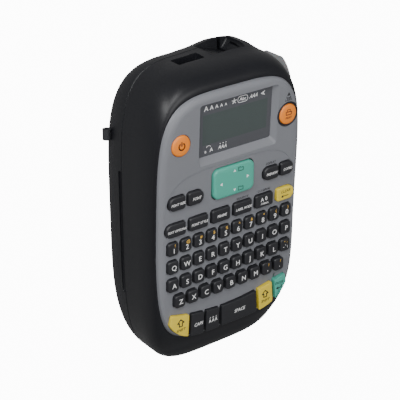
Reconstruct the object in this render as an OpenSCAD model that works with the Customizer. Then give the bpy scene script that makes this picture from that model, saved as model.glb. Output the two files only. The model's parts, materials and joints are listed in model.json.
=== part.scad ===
// Handheld label maker, lying on its back: +Z out of the keys, +Y towards the label exit,
// +X to the right seen from the keys. Z = 0 is the surface that the feet stand on.

/* [Case] */
// Width of the case, side to side
body_w = 110; // [106:1:134]
// Length of the case, keyboard end to label end
body_h = 192; // [186:1:232]
// Height of the keyboard panel above the table
panel_z = 58; // [57:1:70]
// Roundness of the outline, as a superellipse power
corner_n = 4.4; // [4:0.1:6]
// Height of the split between the back cover and the front case
seam_z = 26; // [25:0.5:27]
// Wall of both shells
wall = 2.2; // [2:0.1:2.6]
// Height of the feet under the cover
foot_h = 1.2; // [1:0.1:2]
// Radius of each foot
foot_r = 4.5; // [3:0.5:6]

/* [Face panel] */
// Thickness of the grey panel
panel_t = 2; // [1.6:0.1:2.4]
// Width of the black border between the panel and the side of the case
border_x = 3.1; // [2.6:0.1:4]
// How far the panel stops short of the keyboard end and the label end, on average
border_y = 16; // [15:0.5:18]
// How far the panel's middle lies towards the label end
panel_dy = 4.4; // [3:0.1:5]
// Width of the panel's rounded edge
edge_w = 5; // [4:0.5:6]
// Fall of the panel's rounded edge
edge_fall = 3; // [2:0.5:3.5]
// Rise of the panel towards the label end, per mm of length
rise = 0.05; // [0:0.01:0.06]

/* [Keys] */
// Height of a key top above the panel
key_proud = 2; // [1.5:0.1:2.5]
// Key travel
key_travel = 0.8; // [0.5:0.1:1]
// Distance between letter key columns
pitch_x = 9.5; // [9.4:0.1:10]
// Distance between letter key rows
pitch_y = 12.1; // [11.5:0.1:13]
// Width of a letter key
key_w = 7.6; // [7:0.1:7.8]
// Length of a letter key
key_h = 8.6; // [8:0.1:9]
// Gap between a key and its hole in the panel
key_gap = 0.35; // [0.3:0.05:0.5]
// Diameter of the power and print keys
round_key_d = 12.8; // [11:0.1:13]
// Size of the navigation pad
nav_size = [30, 19.2];

/* [Screen] */
// Size of the window glass
glass = [54, 33.5];
// Thickness of the window glass
glass_t = 1.2; // [1:0.1:1.5]
// Depth of the glass below the panel
glass_drop = 2.6; // [2:0.1:3]

/* [Print mechanism] */
// Width of the label tape
tape_w = 18; // [12:1:18]
// Height of the middle of the tape above the table
tape_z = 24; // [23:0.5:24]
// Place of the tape line, from the middle of the case
tape_x = 19; // [18:0.5:20]
// Radius of the platen roller
platen_r = 5; // [4:0.5:5]
// Radius of the gear and platen shafts
shaft_r = 1.5; // [1.2:0.1:1.6]
// Gear module
gear_m = 0.8; // [0.8:0.01:0.85]
// Teeth of the drive, platen, ribbon and motor gears
drive_n = 36;
platen_n = 18;
ribbon_n = 20;
pinion_n = 12;
// Travel of the cutter blade
cut_travel = 3; // [2:0.1:3]

/* [Power] */
// Diameter of a battery cell
cell_d = 14.5; // [14:0.1:14.6]
// Length of a battery cell
cell_l = 50.5; // [49:0.5:51]
// Height of the battery axes above the table
cell_z = 18; // [17.5:0.5:19]
// Radius of the opening in the power inlet
inlet_r = 2.9; // [2.5:0.1:3.2]
// Radius of the strap hole
strap_r = 1.2; // [1:0.1:1.3]

/* [Hidden] */
$fn = 48;
ring_n = 72;
end_y = body_h/2;
side_x = body_w/2;

// Heights, from the keys down
roll_z = panel_z - 18;
deck_top = panel_z - 18;
deck_t = 2;
deck_z = deck_top - deck_t;
gear_z = deck_top + 1;
gear_t = 4;
board_t = 1.6;
board_z = panel_z - 9.6;
mat_z = board_z + board_t;
mat_t = 1;
dome_h = 1;
flange_z = mat_z + mat_t + dome_h + key_travel + 0.2;
flange_t = 1.8;
flange_w = 0.45;
panel_a = side_x - border_x;
panel_b = end_y - border_y;
ledge_t = 1.8;
rim_w = 0.5;
fit_gap = 0.3;
part_gap = 0.6;
seam_gap = 0.1;
bearing_gap = 0.05;

// Keyboard and screen places on the panel
digit_y = 88.6 - end_y;
row_x0 = -4.5*pitch_x;
low_x0 = -4*pitch_x;
fn_pitch = 16.4;
fn_y = digit_y + 12.2;
top_fn_y = fn_y + 17.1;
nav_at = [0.6, top_fn_y + 3.5];
glass_at = [2.6, end_y*61/96];
power_at = [17.3 - side_x, glass_at[1] - 3.8];
print_at = [side_x - 14.6, glass_at[1] - 3.8];
bottom_top_y = 36.5 - end_y;
bottom_margin = 2.3;
bottom_gap = 0.95;
bottom_cuts = [7.3 - panel_a, -29.6, -18.2, -6.5, 22.4, 34.8, panel_a - 6.9];
bottom_flange_t = 1.2;
bottom_lean = 0.03;
bottom_drop = 0.8;
low_dome_h = flange_z - bottom_drop - key_travel - mat_z - mat_t - bearing_gap;
level_drop = 0.7;

// Mechanism places
tape_lo = tape_z - tape_w/2;
platen_at = [tape_x + 0.3 + platen_r, end_y - 21];
mesh_gap = 0.06;
function gear_r(n) = gear_m*n/2;
drive_at = platen_at - [0, gear_r(drive_n) + gear_r(platen_n) + mesh_gap];
takeup_dir = 195;
takeup_at = drive_at + (gear_r(drive_n) + gear_r(ribbon_n) + mesh_gap)*[cos(takeup_dir), sin(takeup_dir)];
pinion_dir = -45;
pinion_at = drive_at + (gear_r(drive_n) + gear_r(pinion_n) + mesh_gap)*[cos(pinion_dir), sin(pinion_dir)];
motor_r = 9.5;
roll_r = 18;
core_r = 8;
cart_hi = deck_z - 2.5;
cart_lo = tape_lo - 2.4;
cart_wall = 1.2;
roll_at = [takeup_at[0] - 25.6, takeup_at[1] - 11];
supply_at = [takeup_at[0] - 1.5, takeup_at[1] - 27];
arm_at = [tape_x - 9.5, platen_at[1] - 15];
head_gap = 0.3;
button_pivot = [side_x - 9.5, end_y - 30];
blade_y = end_y - 13;
blade_t = 0.6;
carrier_at = [tape_x + 6, blade_y + blade_t];
carrier_size = [8.5, 3];
button_lo = seam_z + 8;
button_hi = panel_z - 9.5;
button_y0 = end_y - 25;
button_y1 = end_y - 8;
bay_x = 3*cell_d + 2.5;
bay_wall = 1.6;
bay_lo = cell_z - cell_d/2;
bay_top = -7.7;
cell_y = bay_top - 2.5 - cell_l;
bay_bottom = cell_y - 6;
inlet_at = [-13.7, panel_z - 22.5];

// Rise of the front face over the flat keyboard plane
flat_y = digit_y - 2.6;
sag_y = 50 - end_y;
sag = 2.7;
function clamp01(x) = max(0, min(1.25, x));
function lift(y) = rise*max(0, y - flat_y) - sag*pow(clamp01((sag_y - y)/30), 2);

// Points of a superellipse ring
function sgn(x) = x < 0 ? -1 : 1;
function se_x(a, t) = a*sgn(cos(t))*pow(abs(cos(t)), 2/corner_n);
function se_y(b, t) = b*sgn(sin(t))*pow(abs(sin(t)), 2/corner_n);
function outline(a, b, cy = 0) = [for (i = [0:ring_n-1]) let(t = 360*i/ring_n)
  [se_x(a, t), cy + se_y(b, t)]];
// One ring of the front: w says how much of the face's rise it takes
function ring(a, b, cy, z, w = 0) = [for (p = outline(a, b, cy)) [p[0], p[1], z + w*lift(p[1])]];

// Cap strips, with the doubled corner at either end left out
function strips_of(strips, n, base) = [for (k = [0:len(strips)-1]) let(f = strips[k])
  [for (c = k == 0 ? [f[0], f[2], f[3]] : k == len(strips) - 1 ? [f[0], f[1], f[2]] : f) base + c]];

// Closed skin over a stack of rings, lowest first
module skin(rings) {
  m = len(rings);
  n = len(rings[0]);
  sides = [for (k = [0:m-2], i = [0:n-1]) let(j = (i + 1)%n, a = k*n, b = (k + 1)*n) each
    [[a + i, b + i, b + j], [a + i, b + j, a + j]]];
  // A cap over a case ring runs in strips across X, so that it follows the face's rise
  q = n/4;
  top = (m - 1)*n;
  strips = [for (k = [0:n/2-1]) [(q - k + n)%n, (q + k)%n, (q + k + 1)%n, (q - k - 1 + n)%n]];
  low = n == ring_n ? strips_of(strips, n, 0) : [[for (i = [0:n-1]) i]];
  high = n == ring_n ? [for (f = strips_of(strips, n, top)) [for (k = [len(f)-1:-1:0]) f[k]]]
    : [[for (i = [n-1:-1:0]) top + i]];
  polyhedron([for (r = rings) each r], concat(low, sides, high), convexity = 8);
}

// Front roll between the side wall (t = 0) and the rim round the panel (t = 90)
module front_roll(inset, steps, top_extra) {
  rim_a = panel_a + rim_w - inset;
  rim_b = panel_b + rim_w - inset;
  base = roll_z - (inset > 0 ? 1 : 0);
  top = panel_z - edge_fall - (inset > 0 ? panel_t + ledge_t : 0);
  rolled = [for (k = [0:steps]) let(t = 90*k/steps) ring(
    rim_a + (side_x - inset - rim_a)*cos(t), rim_b + (end_y - inset - rim_b)*cos(t),
    panel_dy*(1 - cos(t)), base + (top - base)*sin(t), sin(t))];
  foot = [ring(side_x - inset, end_y - inset, 0, seam_z + (inset > 0 ? -1 : seam_gap))];
  cap = top_extra > 0 ? [ring(rim_a, rim_b, panel_dy, top + top_extra, 1)] : [];
  skin(concat(foot, rolled, cap));
}

// Solid between two copies of the face's side profile, top dropped by f and by low
profile_y = concat([-end_y], [for (k = [5:-1:0]) sag_y - 6*k], [flat_y, end_y]);
module profile(f, low) {
  rotate([90, 0, 90]) linear_extrude(body_w, center = true) polygon(concat(
    [for (y = profile_y) [y, panel_z + lift(y) - f]],
    [for (k = [len(profile_y)-1:-1:0]) let(y = profile_y[k]) [y, panel_z + lift(y) - low]]));
}

// Grey panel with a stepped roll at its edge; d moves its surface inwards
panel_low = edge_fall + panel_t;
module panel_body(d, low) {
  for (step = [[0, 0.6], [0.16*edge_w, 0.3], [0.48*edge_w, 0.1], [0.9*edge_w, 0]]) intersection() {
    linear_extrude(2*body_w) polygon(outline(panel_a - d - step[0], panel_b - d - step[0], panel_dy));
    profile(d + step[1]*edge_fall, low);
  }
}

// Rectangle with round corners, as points; left and right corners may differ
arc_n = 5;
function arc(x, y, r, a0) = [for (k = [0:arc_n]) let(a = a0 + 90*k/arc_n) [x + r*cos(a), y + r*sin(a)]];
function pill(w, h, rl, rr) = let(x = w/2, y = h/2) concat(
  arc(x - rr, y - rr, rr, 0), arc(rl - x, y - rl, rl, 90),
  arc(rl - x, rl - y, rl, 180), arc(x - rr, rr - y, rr, 270));
module rounded(size, r) { polygon(pill(size[0], size[1], r, r)); }

module at(p, z = 0) { translate([p[0], p[1], z]) children(); }

// ---- Keys ---------------------------------------------------------------------------
// Outline of a function key: left and right ends may be nearly half round
module fn_outline(w, h, left = false, right = false, grow = 0) {
  round_end = 0.46*h + grow;
  polygon(pill(w + 2*grow, h + 2*grow, left ? round_end : 1.6 + grow, right ? round_end : 1.6 + grow));
}

// Place and width of each function key, with which ends are round
FN = [["size", -40.4, top_fn_y, 11.6, true, false], ["font", -27.1, top_fn_y, 11.1, false, true],
  ["preview", 28.9, top_fn_y, 11.3, true, false], ["copies", 41.2, top_fn_y, 10, false, true],
  ["text", -2.5*fn_pitch, fn_y, 14.1, true, false], ["style", -1.5*fn_pitch, fn_y, 13.6, false, false],
  ["frame", -0.5*fn_pitch, fn_y, 13.6, false, false], ["mode", 0.5*fn_pitch, fn_y, 13.6, false, false],
  ["symbol", 1.5*fn_pitch, fn_y, 13.6, false, false], ["clear", 2.5*fn_pitch, fn_y, 13.2, false, true]];
function fn_of(name) = [for (k = FN) if (k[0] == name) k][0];

module fn_shape(k, grow) { translate([k[1], k[2]]) fn_outline(k[3], key_h, k[4], k[5], grow); }

// One sprung key: a cap through the panel and a flange under it
module key_body(top, c) {
  color(c) {
    translate([0, 0, flange_z]) linear_extrude(top - flange_z) children(0);
    translate([0, 0, flange_z]) linear_extrude(flange_t) children(1);
  }
}
function key_top(y) = panel_z + key_proud + lift(y);

module fn_key(name, c = "#1c1d21") {
  k = fn_of(name);
  key_body(key_top(k[2]), c) {
    fn_shape(k, 0);
    fn_shape(k, flange_w);
  }
}

LETTER_ROWS = [[10, row_x0, digit_y], [10, row_x0, digit_y - pitch_y],
  [10, row_x0, digit_y - 2*pitch_y], [9, low_x0, digit_y - 3*pitch_y]];

module letter_shape(grow = 0) { rounded([key_w + 2*grow, key_h + 2*grow], 2 + grow); }

module letter_row(i) {
  row = LETTER_ROWS[i];
  for (k = [0:row[0]-1]) translate([row[1] + k*pitch_x, row[2], 0])
    key_body(key_top(row[2]), "#1c1d21") {
      letter_shape();
      letter_shape(flange_w);
    }
}

// Bottom row: keys between leaning cuts, following the panel's end
function bottom_low(x) = panel_dy - (panel_b - bottom_margin)
  *pow(max(0.01, 1 - pow(min(1, abs(x)/(panel_a - 1)), corner_n)), 1/corner_n);
function bottom_high(x) = bottom_top_y + 0.0034*x*x;
module bottom_shape(i, grow = 0, low_grow = 0) {
  x0 = bottom_cuts[i] + bottom_gap - grow;
  x1 = bottom_cuts[i+1] - bottom_gap + grow;
  steps = 6;
  xs = [for (k = [0:steps]) x0 + (x1 - x0)*k/steps];
  polygon(concat([for (x = xs) [x, bottom_high(x) + grow]],
    [for (k = [steps:-1:0]) let(x = xs[k]*(1 + bottom_lean)) [x, bottom_low(x) - low_grow]]));
}
// Distance from the panel's edge that keeps a flange clear of the ledge of the case
ledge_clear = 4.4;
module bottom_key(i, c) {
  mid = (bottom_cuts[i] + bottom_cuts[i+1])/2;
  top = panel_z + key_proud - level_drop + lift((bottom_high(mid) + bottom_low(mid))/2);
  low = flange_z - bottom_drop;
  color(c) union() {
    translate([0, 0, low + bottom_flange_t]) linear_extrude(top - low - bottom_flange_t) bottom_shape(i);
    intersection() {
      translate([0, 0, low]) linear_extrude(bottom_flange_t) bottom_shape(i, flange_w);
      linear_extrude(2*body_w) polygon(outline(panel_a - ledge_clear, panel_b - ledge_clear, panel_dy));
    }
  }
}

module keys_outline(grow) {
  for (row = LETTER_ROWS, k = [0:row[0]-1])
    translate([row[1] + k*pitch_x, row[2]]) letter_shape(grow);
  for (k = FN) fn_shape(k, grow);
  for (i = [0:5]) bottom_shape(i, grow, grow);
  for (p = [power_at, print_at]) translate(p) circle(round_key_d/2 + grow);
  translate(nav_at) rounded(nav_size + 2*[grow + 0.3, grow + 0.3], 4);
}
module digit_keys() { letter_row(0); }
module upper_letter_keys() { letter_row(1); }
module middle_letter_keys() { letter_row(2); }
module lower_letter_keys() { letter_row(3); }
module size_key() { fn_key("size"); }
module font_key() { fn_key("font"); }
module preview_key() { fn_key("preview"); }
module copies_key() { fn_key("copies"); }
module text_key() { fn_key("text"); }
module style_key() { fn_key("style"); }
module frame_key() { fn_key("frame"); }
module mode_key() { fn_key("mode"); }
module symbol_key() { fn_key("symbol"); }
module clear_key() { fn_key("clear", "#d9c63f"); }
module shift_left_key() { bottom_key(0, "#d9c63f"); }
module caps_key() { bottom_key(1, "#1c1d21"); }
module accent_key() { bottom_key(2, "#1c1d21"); }
module space_key() { bottom_key(3, "#1c1d21"); }
module shift_right_key() { bottom_key(4, "#d9c63f"); }
module enter_key() { bottom_key(5, "#4f9d8c"); }
module round_key(p) {
  at(p) key_body(key_top(p[1]) - 1, "#e08a2c") {
    circle(round_key_d/2);
    circle(round_key_d/2 + flange_w);
  }
}
module power_key() { round_key(power_at); }
module print_key() { round_key(print_at); }
module nav_pad() {
  low = flange_z;
  color("#4f9d8c") at(nav_at) {
    translate([0, 0, low]) linear_extrude(key_top(nav_at[1]) - low) rounded(nav_size, 4);
    translate([0, 0, low]) linear_extrude(1.6) rounded(nav_size + 2*[flange_w, flange_w], 4);
  }
}
module nav_gimbal() { color("dimgray") at(nav_at, mat_z + mat_t + 0.3) cylinder(r = 3, h = 1.5); }

// ---- Case ---------------------------------------------------------------------------
boss_at = [[side_x - 8.5, 22], [8.5 - side_x, 22], [38, 18 - end_y], [-38, 18 - end_y], [-30, end_y - 12]];
boss_r = 3;
boss_h = 7;
board_screw_at = [[4*pitch_x, digit_y - 2.5*pitch_y], [-4*pitch_x, digit_y - 2.5*pitch_y],
  [12 - side_x, power_at[1] + 0.8], [pinion_at[0] + 6.1, pinion_at[1] + 10.3]];
screw_r = 1.1;
screw_hole_r = 1.2;
head_r = 2.4;
head_h = 2;
screw_l = 8;
inlet_recess = [18, 5, 9];
inlet_back = end_y - 7.5;
scoop_lo = tape_lo + 7;
scoop_x = [0.5, 25];
pad_y = end_y - 9;
slot_w = 2.4;
slot_lo = tape_lo - 0.8;
slot_hi = tape_z + tape_w/2 + 0.8;

// Space of the label outlet: a scoop that ramps down to the slit, and the slit itself
module outlet_cut() {
  translate([0, 0, scoop_lo]) linear_extrude(deck_top - scoop_lo)
    polygon([[scoop_x[0], end_y + 1], [tape_x - slot_w/2, end_y - 4.5],
      [tape_x + slot_w, end_y - 4.5], [scoop_x[1], end_y + 1]]);
  translate([tape_x - slot_w/2, pad_y - 1, slot_lo]) cube([slot_w, 12, slot_hi - slot_lo]);
}

// Window round the cutter button
module button_window(gap) {
  translate([side_x - 21, button_y0 - gap, button_lo - gap])
    cube([24, button_y1 - button_y0 + 2*gap, button_hi - button_lo + 2*gap]);
}

module front_case() {
  color("#232428") difference() {
    union() {
      difference() {
        front_roll(0, 8, 0);
        front_roll(wall, 6, 12);
      }
      intersection() {
        front_roll(0, 8, 0);
        union() {
          translate([scoop_x[0] - 2.5, pad_y, seam_z + seam_gap])
            cube([scoop_x[1] - scoop_x[0] + 6, 9, deck_top + 2 - seam_z]);
          translate([inlet_at[0] - 12, inlet_back, inlet_at[1] - 7]) cube([24, 8, 14]);
          for (p = boss_at) {
            at(p, deck_top) cylinder(r = boss_r, h = boss_h);
            wide = abs(p[0]) > side_x - 10;
            dir = wide ? [sgn(p[0]), 0] : [0, sgn(p[1])];
            at(p + 4*dir, deck_top + boss_h/2)
              cube([wide ? 8 : 4, wide ? 4 : 8, boss_h], center = true);
          }
        }
      }
    }
    intersection() {
      linear_extrude(2*body_w) polygon(outline(panel_a + 0.1, panel_b + 0.1, panel_dy));
      profile(-12, panel_low);
    }
    for (p = boss_at) at(p, deck_top - 1) cylinder(r = screw_hole_r, h = screw_l + 0.5 - deck_t + 1);
    outlet_cut();
    translate([inlet_at[0] - inlet_recess[0]/2, end_y - inlet_recess[1], inlet_at[1] - inlet_recess[2]/2])
      cube([inlet_recess[0], inlet_recess[1] + 1, inlet_recess[2]]);
    translate([inlet_at[0], end_y, inlet_at[1]]) rotate([90, 0, 0]) cylinder(r = inlet_r + 0.8, h = 12);
    button_window(0.5);
  }
}

// Places a child on the sloping face at p, with z = 0 at the panel's surface
module on_face(p) {
  translate([p[0], p[1], panel_z + lift(p[1])]) rotate([atan(rise), 0, 0]) children();
}

bevel_left = 0.4;
bevel_right = 3.2;
bevel_top = 0.4;
bevel_low = 4.4;
module screen_pocket() {
  over = 0.6;
  k = (glass_drop + over)/glass_drop;
  w = glass/2;
  hull() {
    translate([-w[0], -w[1], -glass_drop]) cube([glass[0], glass[1], 0.01]);
    translate([-w[0] - k*bevel_left, -w[1] - k*bevel_low, over])
      cube([glass[0] + k*(bevel_left + bevel_right), glass[1] + k*(bevel_low + bevel_top), 0.01]);
  }
}

module face_panel() {
  tray_w = 1.2;
  color("#77797e") difference() {
    union() {
      difference() {
        panel_body(0, panel_low);
        panel_body(panel_t, 16);
      }
      on_face(glass_at) translate([0, 0, -(glass_drop + glass_t)/2 - 0.3])
        cube([glass[0] + 2*tray_w, glass[1] + 2*tray_w, glass_drop + glass_t - 0.6], center = true);
    }
    on_face(glass_at) {
      screen_pocket();
      translate([0, 0, -4]) cube([glass[0] + 0.1, glass[1] + 0.1, 8], center = true);
    }
    translate([0, 0, panel_z - 18]) linear_extrude(40) keys_outline(key_gap);
  }
}

module lcd_window() {
  color([0.2, 0.25, 0.25, 0.5]) on_face(glass_at)
    translate([0, 0, -glass_drop - glass_t/2]) cube([glass[0], glass[1], glass_t], center = true);
}

module lcd_module() {
  module_t = 3.2;
  frame = glass + [1.6, 1.6];
  color("#566b62") {
    on_face(glass_at) translate([0, 0, -glass_drop - glass_t - 0.1 - module_t/2])
      cube([frame[0], frame[1], module_t], center = true);
    for (x = [-1, 1], y = [-1, 1])
      at(glass_at + [x*(frame[0]/2 - 3), y*(frame[1]/2 - 3)], mat_z) cylinder(r = 1.5, h = 4.2);
  }
}

// Back cover, from the table up to the seam
cover_in_x = 10;
cover_in_y = 25;
module cover_skin(inset, steps, top) {
  base = foot_h + inset;
  rolled = [for (k = [steps:-1:0]) let(t = 90*k/steps) ring(
    side_x - cover_in_x - inset + cover_in_x*cos(t), end_y - cover_in_y - inset + cover_in_y*cos(t),
    0, seam_z - (seam_z - base)*sin(t))];
  skin(concat(rolled, top > seam_z ? [ring(side_x - inset, end_y - inset, 0, top)] : []));
}

groove_y = [-47.5, 33];
groove_h = 3;
foot_at = [[32, 52], [-32, 52], [32, -52], [-32, -52]];
eyelet_at = [1 - side_x, end_y - 44.5, 10.5];
eyelet_r = 2.6;
eyelet_l = 6.5;
module back_cover() {
  color("#1f2023") difference() {
    union() {
      difference() {
        cover_skin(0, 8, seam_z);
        cover_skin(wall, 6, seam_z + 2);
      }
      intersection() {
        cover_skin(0, 8, seam_z);
        translate([scoop_x[0] - 2.5, pad_y, slot_lo - 2])
          cube([scoop_x[1] - scoop_x[0] + 6, 9, seam_z - slot_lo + 2]);
      }
    }
    outlet_cut();
    for (s = [-1, 1]) translate([s*side_x - 6, groove_y[0], seam_z - groove_h])
      cube([12, groove_y[1] - groove_y[0], groove_h + 1]);
    for (p = foot_at) at(p, 0) cylinder(r = foot_r + 0.05, h = foot_h + 0.8);
    translate(eyelet_at - [0, eyelet_l/2 + 0.05, 0]) rotate([-90, 0, 0])
      cylinder(r = eyelet_r + 0.05, h = eyelet_l + 0.1);
  }
}

module rubber_feet() {
  color("#151517") for (p = foot_at) at(p, 0) cylinder(r = foot_r, h = foot_h + 0.75);
}

module strap_eyelet() {
  color("#101012") translate(eyelet_at - [0, eyelet_l/2, 0]) rotate([-90, 0, 0]) difference() {
    cylinder(r = eyelet_r, h = eyelet_l);
    translate([0, 0, -1]) cylinder(r = strap_r, h = eyelet_l + 2);
  }
}

module screw() {
  cylinder(r = screw_r, h = screw_l);
  translate([0, 0, -head_h]) difference() {
    cylinder(r = head_r, h = head_h);
    for (a = [0, 90]) rotate([0, 0, a]) translate([-1.5, -0.3, -1]) cube([3, 0.6, 2]);
  }
}
module screws() {
  color("silver") {
    for (p = boss_at) at(p, deck_z) screw();
    for (p = board_screw_at) at(p, board_z + board_t) mirror([0, 0, 1]) screw();
  }
}

// ---- Chassis ------------------------------------------------------------------------
rim_a = side_x - wall - part_gap;
rim_b = end_y - wall - part_gap;
rim_t = 1.6;
rim_z = seam_z - 2.5;
post_r = 2.4;
pin_r = shaft_r;
module chassis() {
  bay_in = [bay_x - bay_wall, bay_bottom + bay_wall, bay_top - bay_wall];
  roof_z = cell_z + cell_d/2 + 1;
  cable_x = 4*pitch_x - post_r - 1;
  color("#2b2c30") difference() {
    union() {
      translate([0, 0, deck_z]) linear_extrude(deck_t) polygon(outline(rim_a, rim_b));
      translate([0, 0, rim_z]) linear_extrude(deck_top - rim_z) difference() {
        polygon(outline(rim_a, rim_b));
        polygon(outline(rim_a - rim_t, rim_b - rim_t));
      }
      translate([-bay_x, bay_bottom, bay_lo])
        cube([2*bay_x, bay_top - bay_bottom, deck_z + 1 - bay_lo]);
      for (p = board_screw_at) at(p, deck_top - 1) cylinder(r = post_r, h = board_z - deck_top + 1);
      at(drive_at, deck_top - 1) cylinder(r = pin_r, h = gear_t + 3);
      at(button_pivot, deck_top - 1) cylinder(r = pin_r, h = 8.5);
      at(arm_at, tape_lo - 3) cylinder(r = pin_r, h = deck_z + 1 - tape_lo + 3);
    }
    // Room for the cells below the bay's roof, and for cables above it
    translate([-bay_in[0], bay_in[1], bay_lo - 1])
      cube([2*bay_in[0], bay_in[2] - bay_in[1], roof_z - bay_lo + 1]);
    translate([-cable_x, bay_in[1] + 2, roof_z + 2])
      cube([2*cable_x, bay_in[2] - bay_in[1] - 4, deck_top - roof_z]);
    for (p = boss_at) at(p, deck_z - 1) cylinder(r = screw_hole_r + 0.2, h = 4);
    for (p = board_screw_at) at(p, deck_top + 1) cylinder(r = screw_hole_r, h = 9);
    for (p = [platen_at, takeup_at]) at(p, deck_z - 1) cylinder(r = shaft_r + bearing_gap, h = 4);
    at(pinion_at, deck_z - 1) cylinder(r = 2, h = 4);
    // Tongue of the blade carrier, label outlet, power inlet and cutter button
    translate([carrier_at[0] - cut_travel - 2, carrier_at[1], deck_z - 1])
      cube([carrier_size[0] + cut_travel + 4, carrier_size[1], 4]);
    translate([scoop_x[0] - 3.5, pad_y - 1, rim_z - 1]) cube([scoop_x[1] - scoop_x[0] + 8, 12, 30]);
    translate([inlet_at[0] - 12.5, inlet_back - 14.5, inlet_at[1] - 7.5]) cube([25, 24, 12]);
    translate([side_x - 21, button_y0 - 1.5, button_lo - 1])
      cube([24, button_y1 - button_y0 + 3, 10]);
  }
}

// ---- Batteries ----------------------------------------------------------------------
cell_pitch = cell_d + 0.1;
cell_x = [for (i = [-2.5:2.5]) i*cell_pitch];
module along_y(x, y) { translate([x, y, cell_z]) rotate([-90, 0, 0]) children(); }
module battery_cells() {
  color("#3d4a55") for (i = [0:5]) {
    flip = i%2;
    along_y(cell_x[i], cell_y + (flip ? 0 : 1.2)) cylinder(d = cell_d - 0.3, h = cell_l - 1.2);
    along_y(cell_x[i], flip ? cell_y + cell_l - 1.4 : cell_y) cylinder(r = 2.6, h = 1.4);
  }
}

// Helix of round wire as a closed tube
module coil(r, wire, pitch, turns) {
  per = 12;
  sides = 6;
  n = per*turns;
  skin([for (i = [0:n]) let(a = 360*i/per, z = pitch*i/per)
    [for (s = [0:sides-1]) let(b = -360*s/sides, d = r + wire*cos(b))
      [d*cos(a), d*sin(a), z + wire*sin(b)]]]);
}
contact_t = 0.4;
spring_room = cell_y - (bay_bottom + bay_wall + contact_t);
module battery_springs() {
  wire = 0.35;
  turns = 3;
  color("silver") for (x = cell_x)
    along_y(x, bay_bottom + bay_wall + contact_t + wire + 0.02)
      coil(3, wire, (spring_room - 2*wire - 0.3)/turns, turns);
}
module battery_contacts() {
  h = 10;
  color("silver") for (i = [0:2]) {
    x0 = cell_x[2*i] - 4;
    translate([x0, bay_bottom + bay_wall, cell_z - h/2]) cube([cell_pitch + 8, contact_t, h]);
    translate([x0, bay_top - bay_wall - contact_t, cell_z - h/2]) cube([cell_pitch + 8, contact_t, h]);
  }
}

// ---- Electronics --------------------------------------------------------------------
// A flat sheet that fills the keyboard's floor, clear of the rolled corners of the case
board_x = side_x - 9.5;
board_y = [30 - end_y, end_y - 26];
mat_y = nav_at[1] + 9.6;
module board_sheet(z, t) {
  intersection() {
    translate([0, 0, z]) linear_extrude(t) polygon(outline(panel_a - 3, panel_b - 3, panel_dy));
    translate([-board_x, board_y[0], z - 1]) cube([2*board_x, board_y[1] - board_y[0], t + 2]);
  }
}
module main_board() {
  color("#1f5a38") difference() {
    union() {
      board_sheet(board_z, board_t);
      for (p = [[-20, -40], [8, -38], [-28, -18], [24, -46]])
        at(p, board_z - 1.4) translate([-6, -6, 0]) cube([12, 12, 1.5]);
    }
    for (p = board_screw_at) at(p, board_z - 1) cylinder(r = screw_hole_r + 0.2, h = 4);
  }
}

module keypad_mat() {
  color("#5b5d60") difference() {
    union() {
      intersection() {
        board_sheet(mat_z, mat_t);
        translate([-side_x, -end_y, 0]) cube([2*side_x, end_y + mat_y, panel_z]);
      }
      for (x = [0.5 - board_x, glass_at[0] + glass[0]/2 + 4]) translate([x, mat_y - 0.5, mat_z])
        cube([13, power_at[1] - mat_y + 5, mat_t]);
      translate([0, 0, mat_z]) {
        for (row = LETTER_ROWS, k = [0:row[0]-1]) at([row[1] + k*pitch_x, row[2]]) dome();
        for (k = FN) at([k[1], k[2]]) dome();
        for (i = [0:5]) at([(bottom_cuts[i] + bottom_cuts[i+1])/2, bottom_top_y - 2.9])
          cylinder(r = 2, h = mat_t + low_dome_h);
        for (p = [power_at, print_at]) at(p) dome();
        for (p = [[9, 0], [-9, 0], [0, 6], [0, -6]]) at(nav_at + p) dome();
      }
    }
    for (p = board_screw_at) at(p, mat_z - 1) cylinder(r = head_r + 0.4, h = 5);
  }
}
module dome() { cylinder(r = 2.4, h = mat_t + dome_h); }

module power_inlet() {
  depth = 13;
  color("#111113") translate([inlet_at[0], inlet_back - 0.05, inlet_at[1]]) rotate([90, 0, 0]) {
    difference() {
      translate([-4.6, -4.6, 0]) cube([9.2, 9.2, depth]);
      translate([0, 0, -1]) cylinder(r = inlet_r, h = 11);
    }
    translate([0, 0, 1]) cylinder(r = 0.9, h = depth - 2);
  }
}

// ---- Label cartridge ----------------------------------------------------------------
cart = [[-23.4, -24.2], [-23.4, 9], [-18, 34], [26, 34], [26, 18.6], [33.5, 18.6], [33.5, -24.2]];
function cart_pts(d) = [for (p = cart) roll_at + [p[0] - sgn(p[0])*d, p[1] - sgn(p[1])*d]];
module cartridge_shell() {
  h = cart_hi - cart_lo;
  color("#c9cbc8") {
    difference() {
      translate([0, 0, cart_lo]) linear_extrude(h) polygon(cart_pts(0));
      translate([0, 0, cart_lo + cart_wall]) linear_extrude(h - 2*cart_wall) polygon(cart_pts(cart_wall));
      at(takeup_at, cart_lo - 1) cylinder(r = 3.6, h = h + 2);
      translate([roll_at[0] + 30, takeup_at[1] - 12, tape_lo - 0.6]) cube([8, 12, tape_w + 1.2]);
    }
    at(roll_at, cart_lo + 0.5) cylinder(r = core_r - fit_gap, h = h - 1);
    at(supply_at, cart_lo + 0.5) cylinder(r = 2.6, h = h - 1);
  }
}
module spool(p, r_in, r_out) {
  at(p, tape_lo) difference() {
    cylinder(r = r_out, h = tape_w);
    translate([0, 0, -1]) cylinder(r = r_in, h = tape_w + 2);
  }
}
module label_roll() { color("white") spool(roll_at, core_r, roll_r - 0.6); }
module ribbon_supply() { color("#1a1a1a") spool(supply_at, 3, 6.5); }
module ribbon_takeup() { color("#1a1a1a") spool(takeup_at, 2.8, 5.5); }
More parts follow.
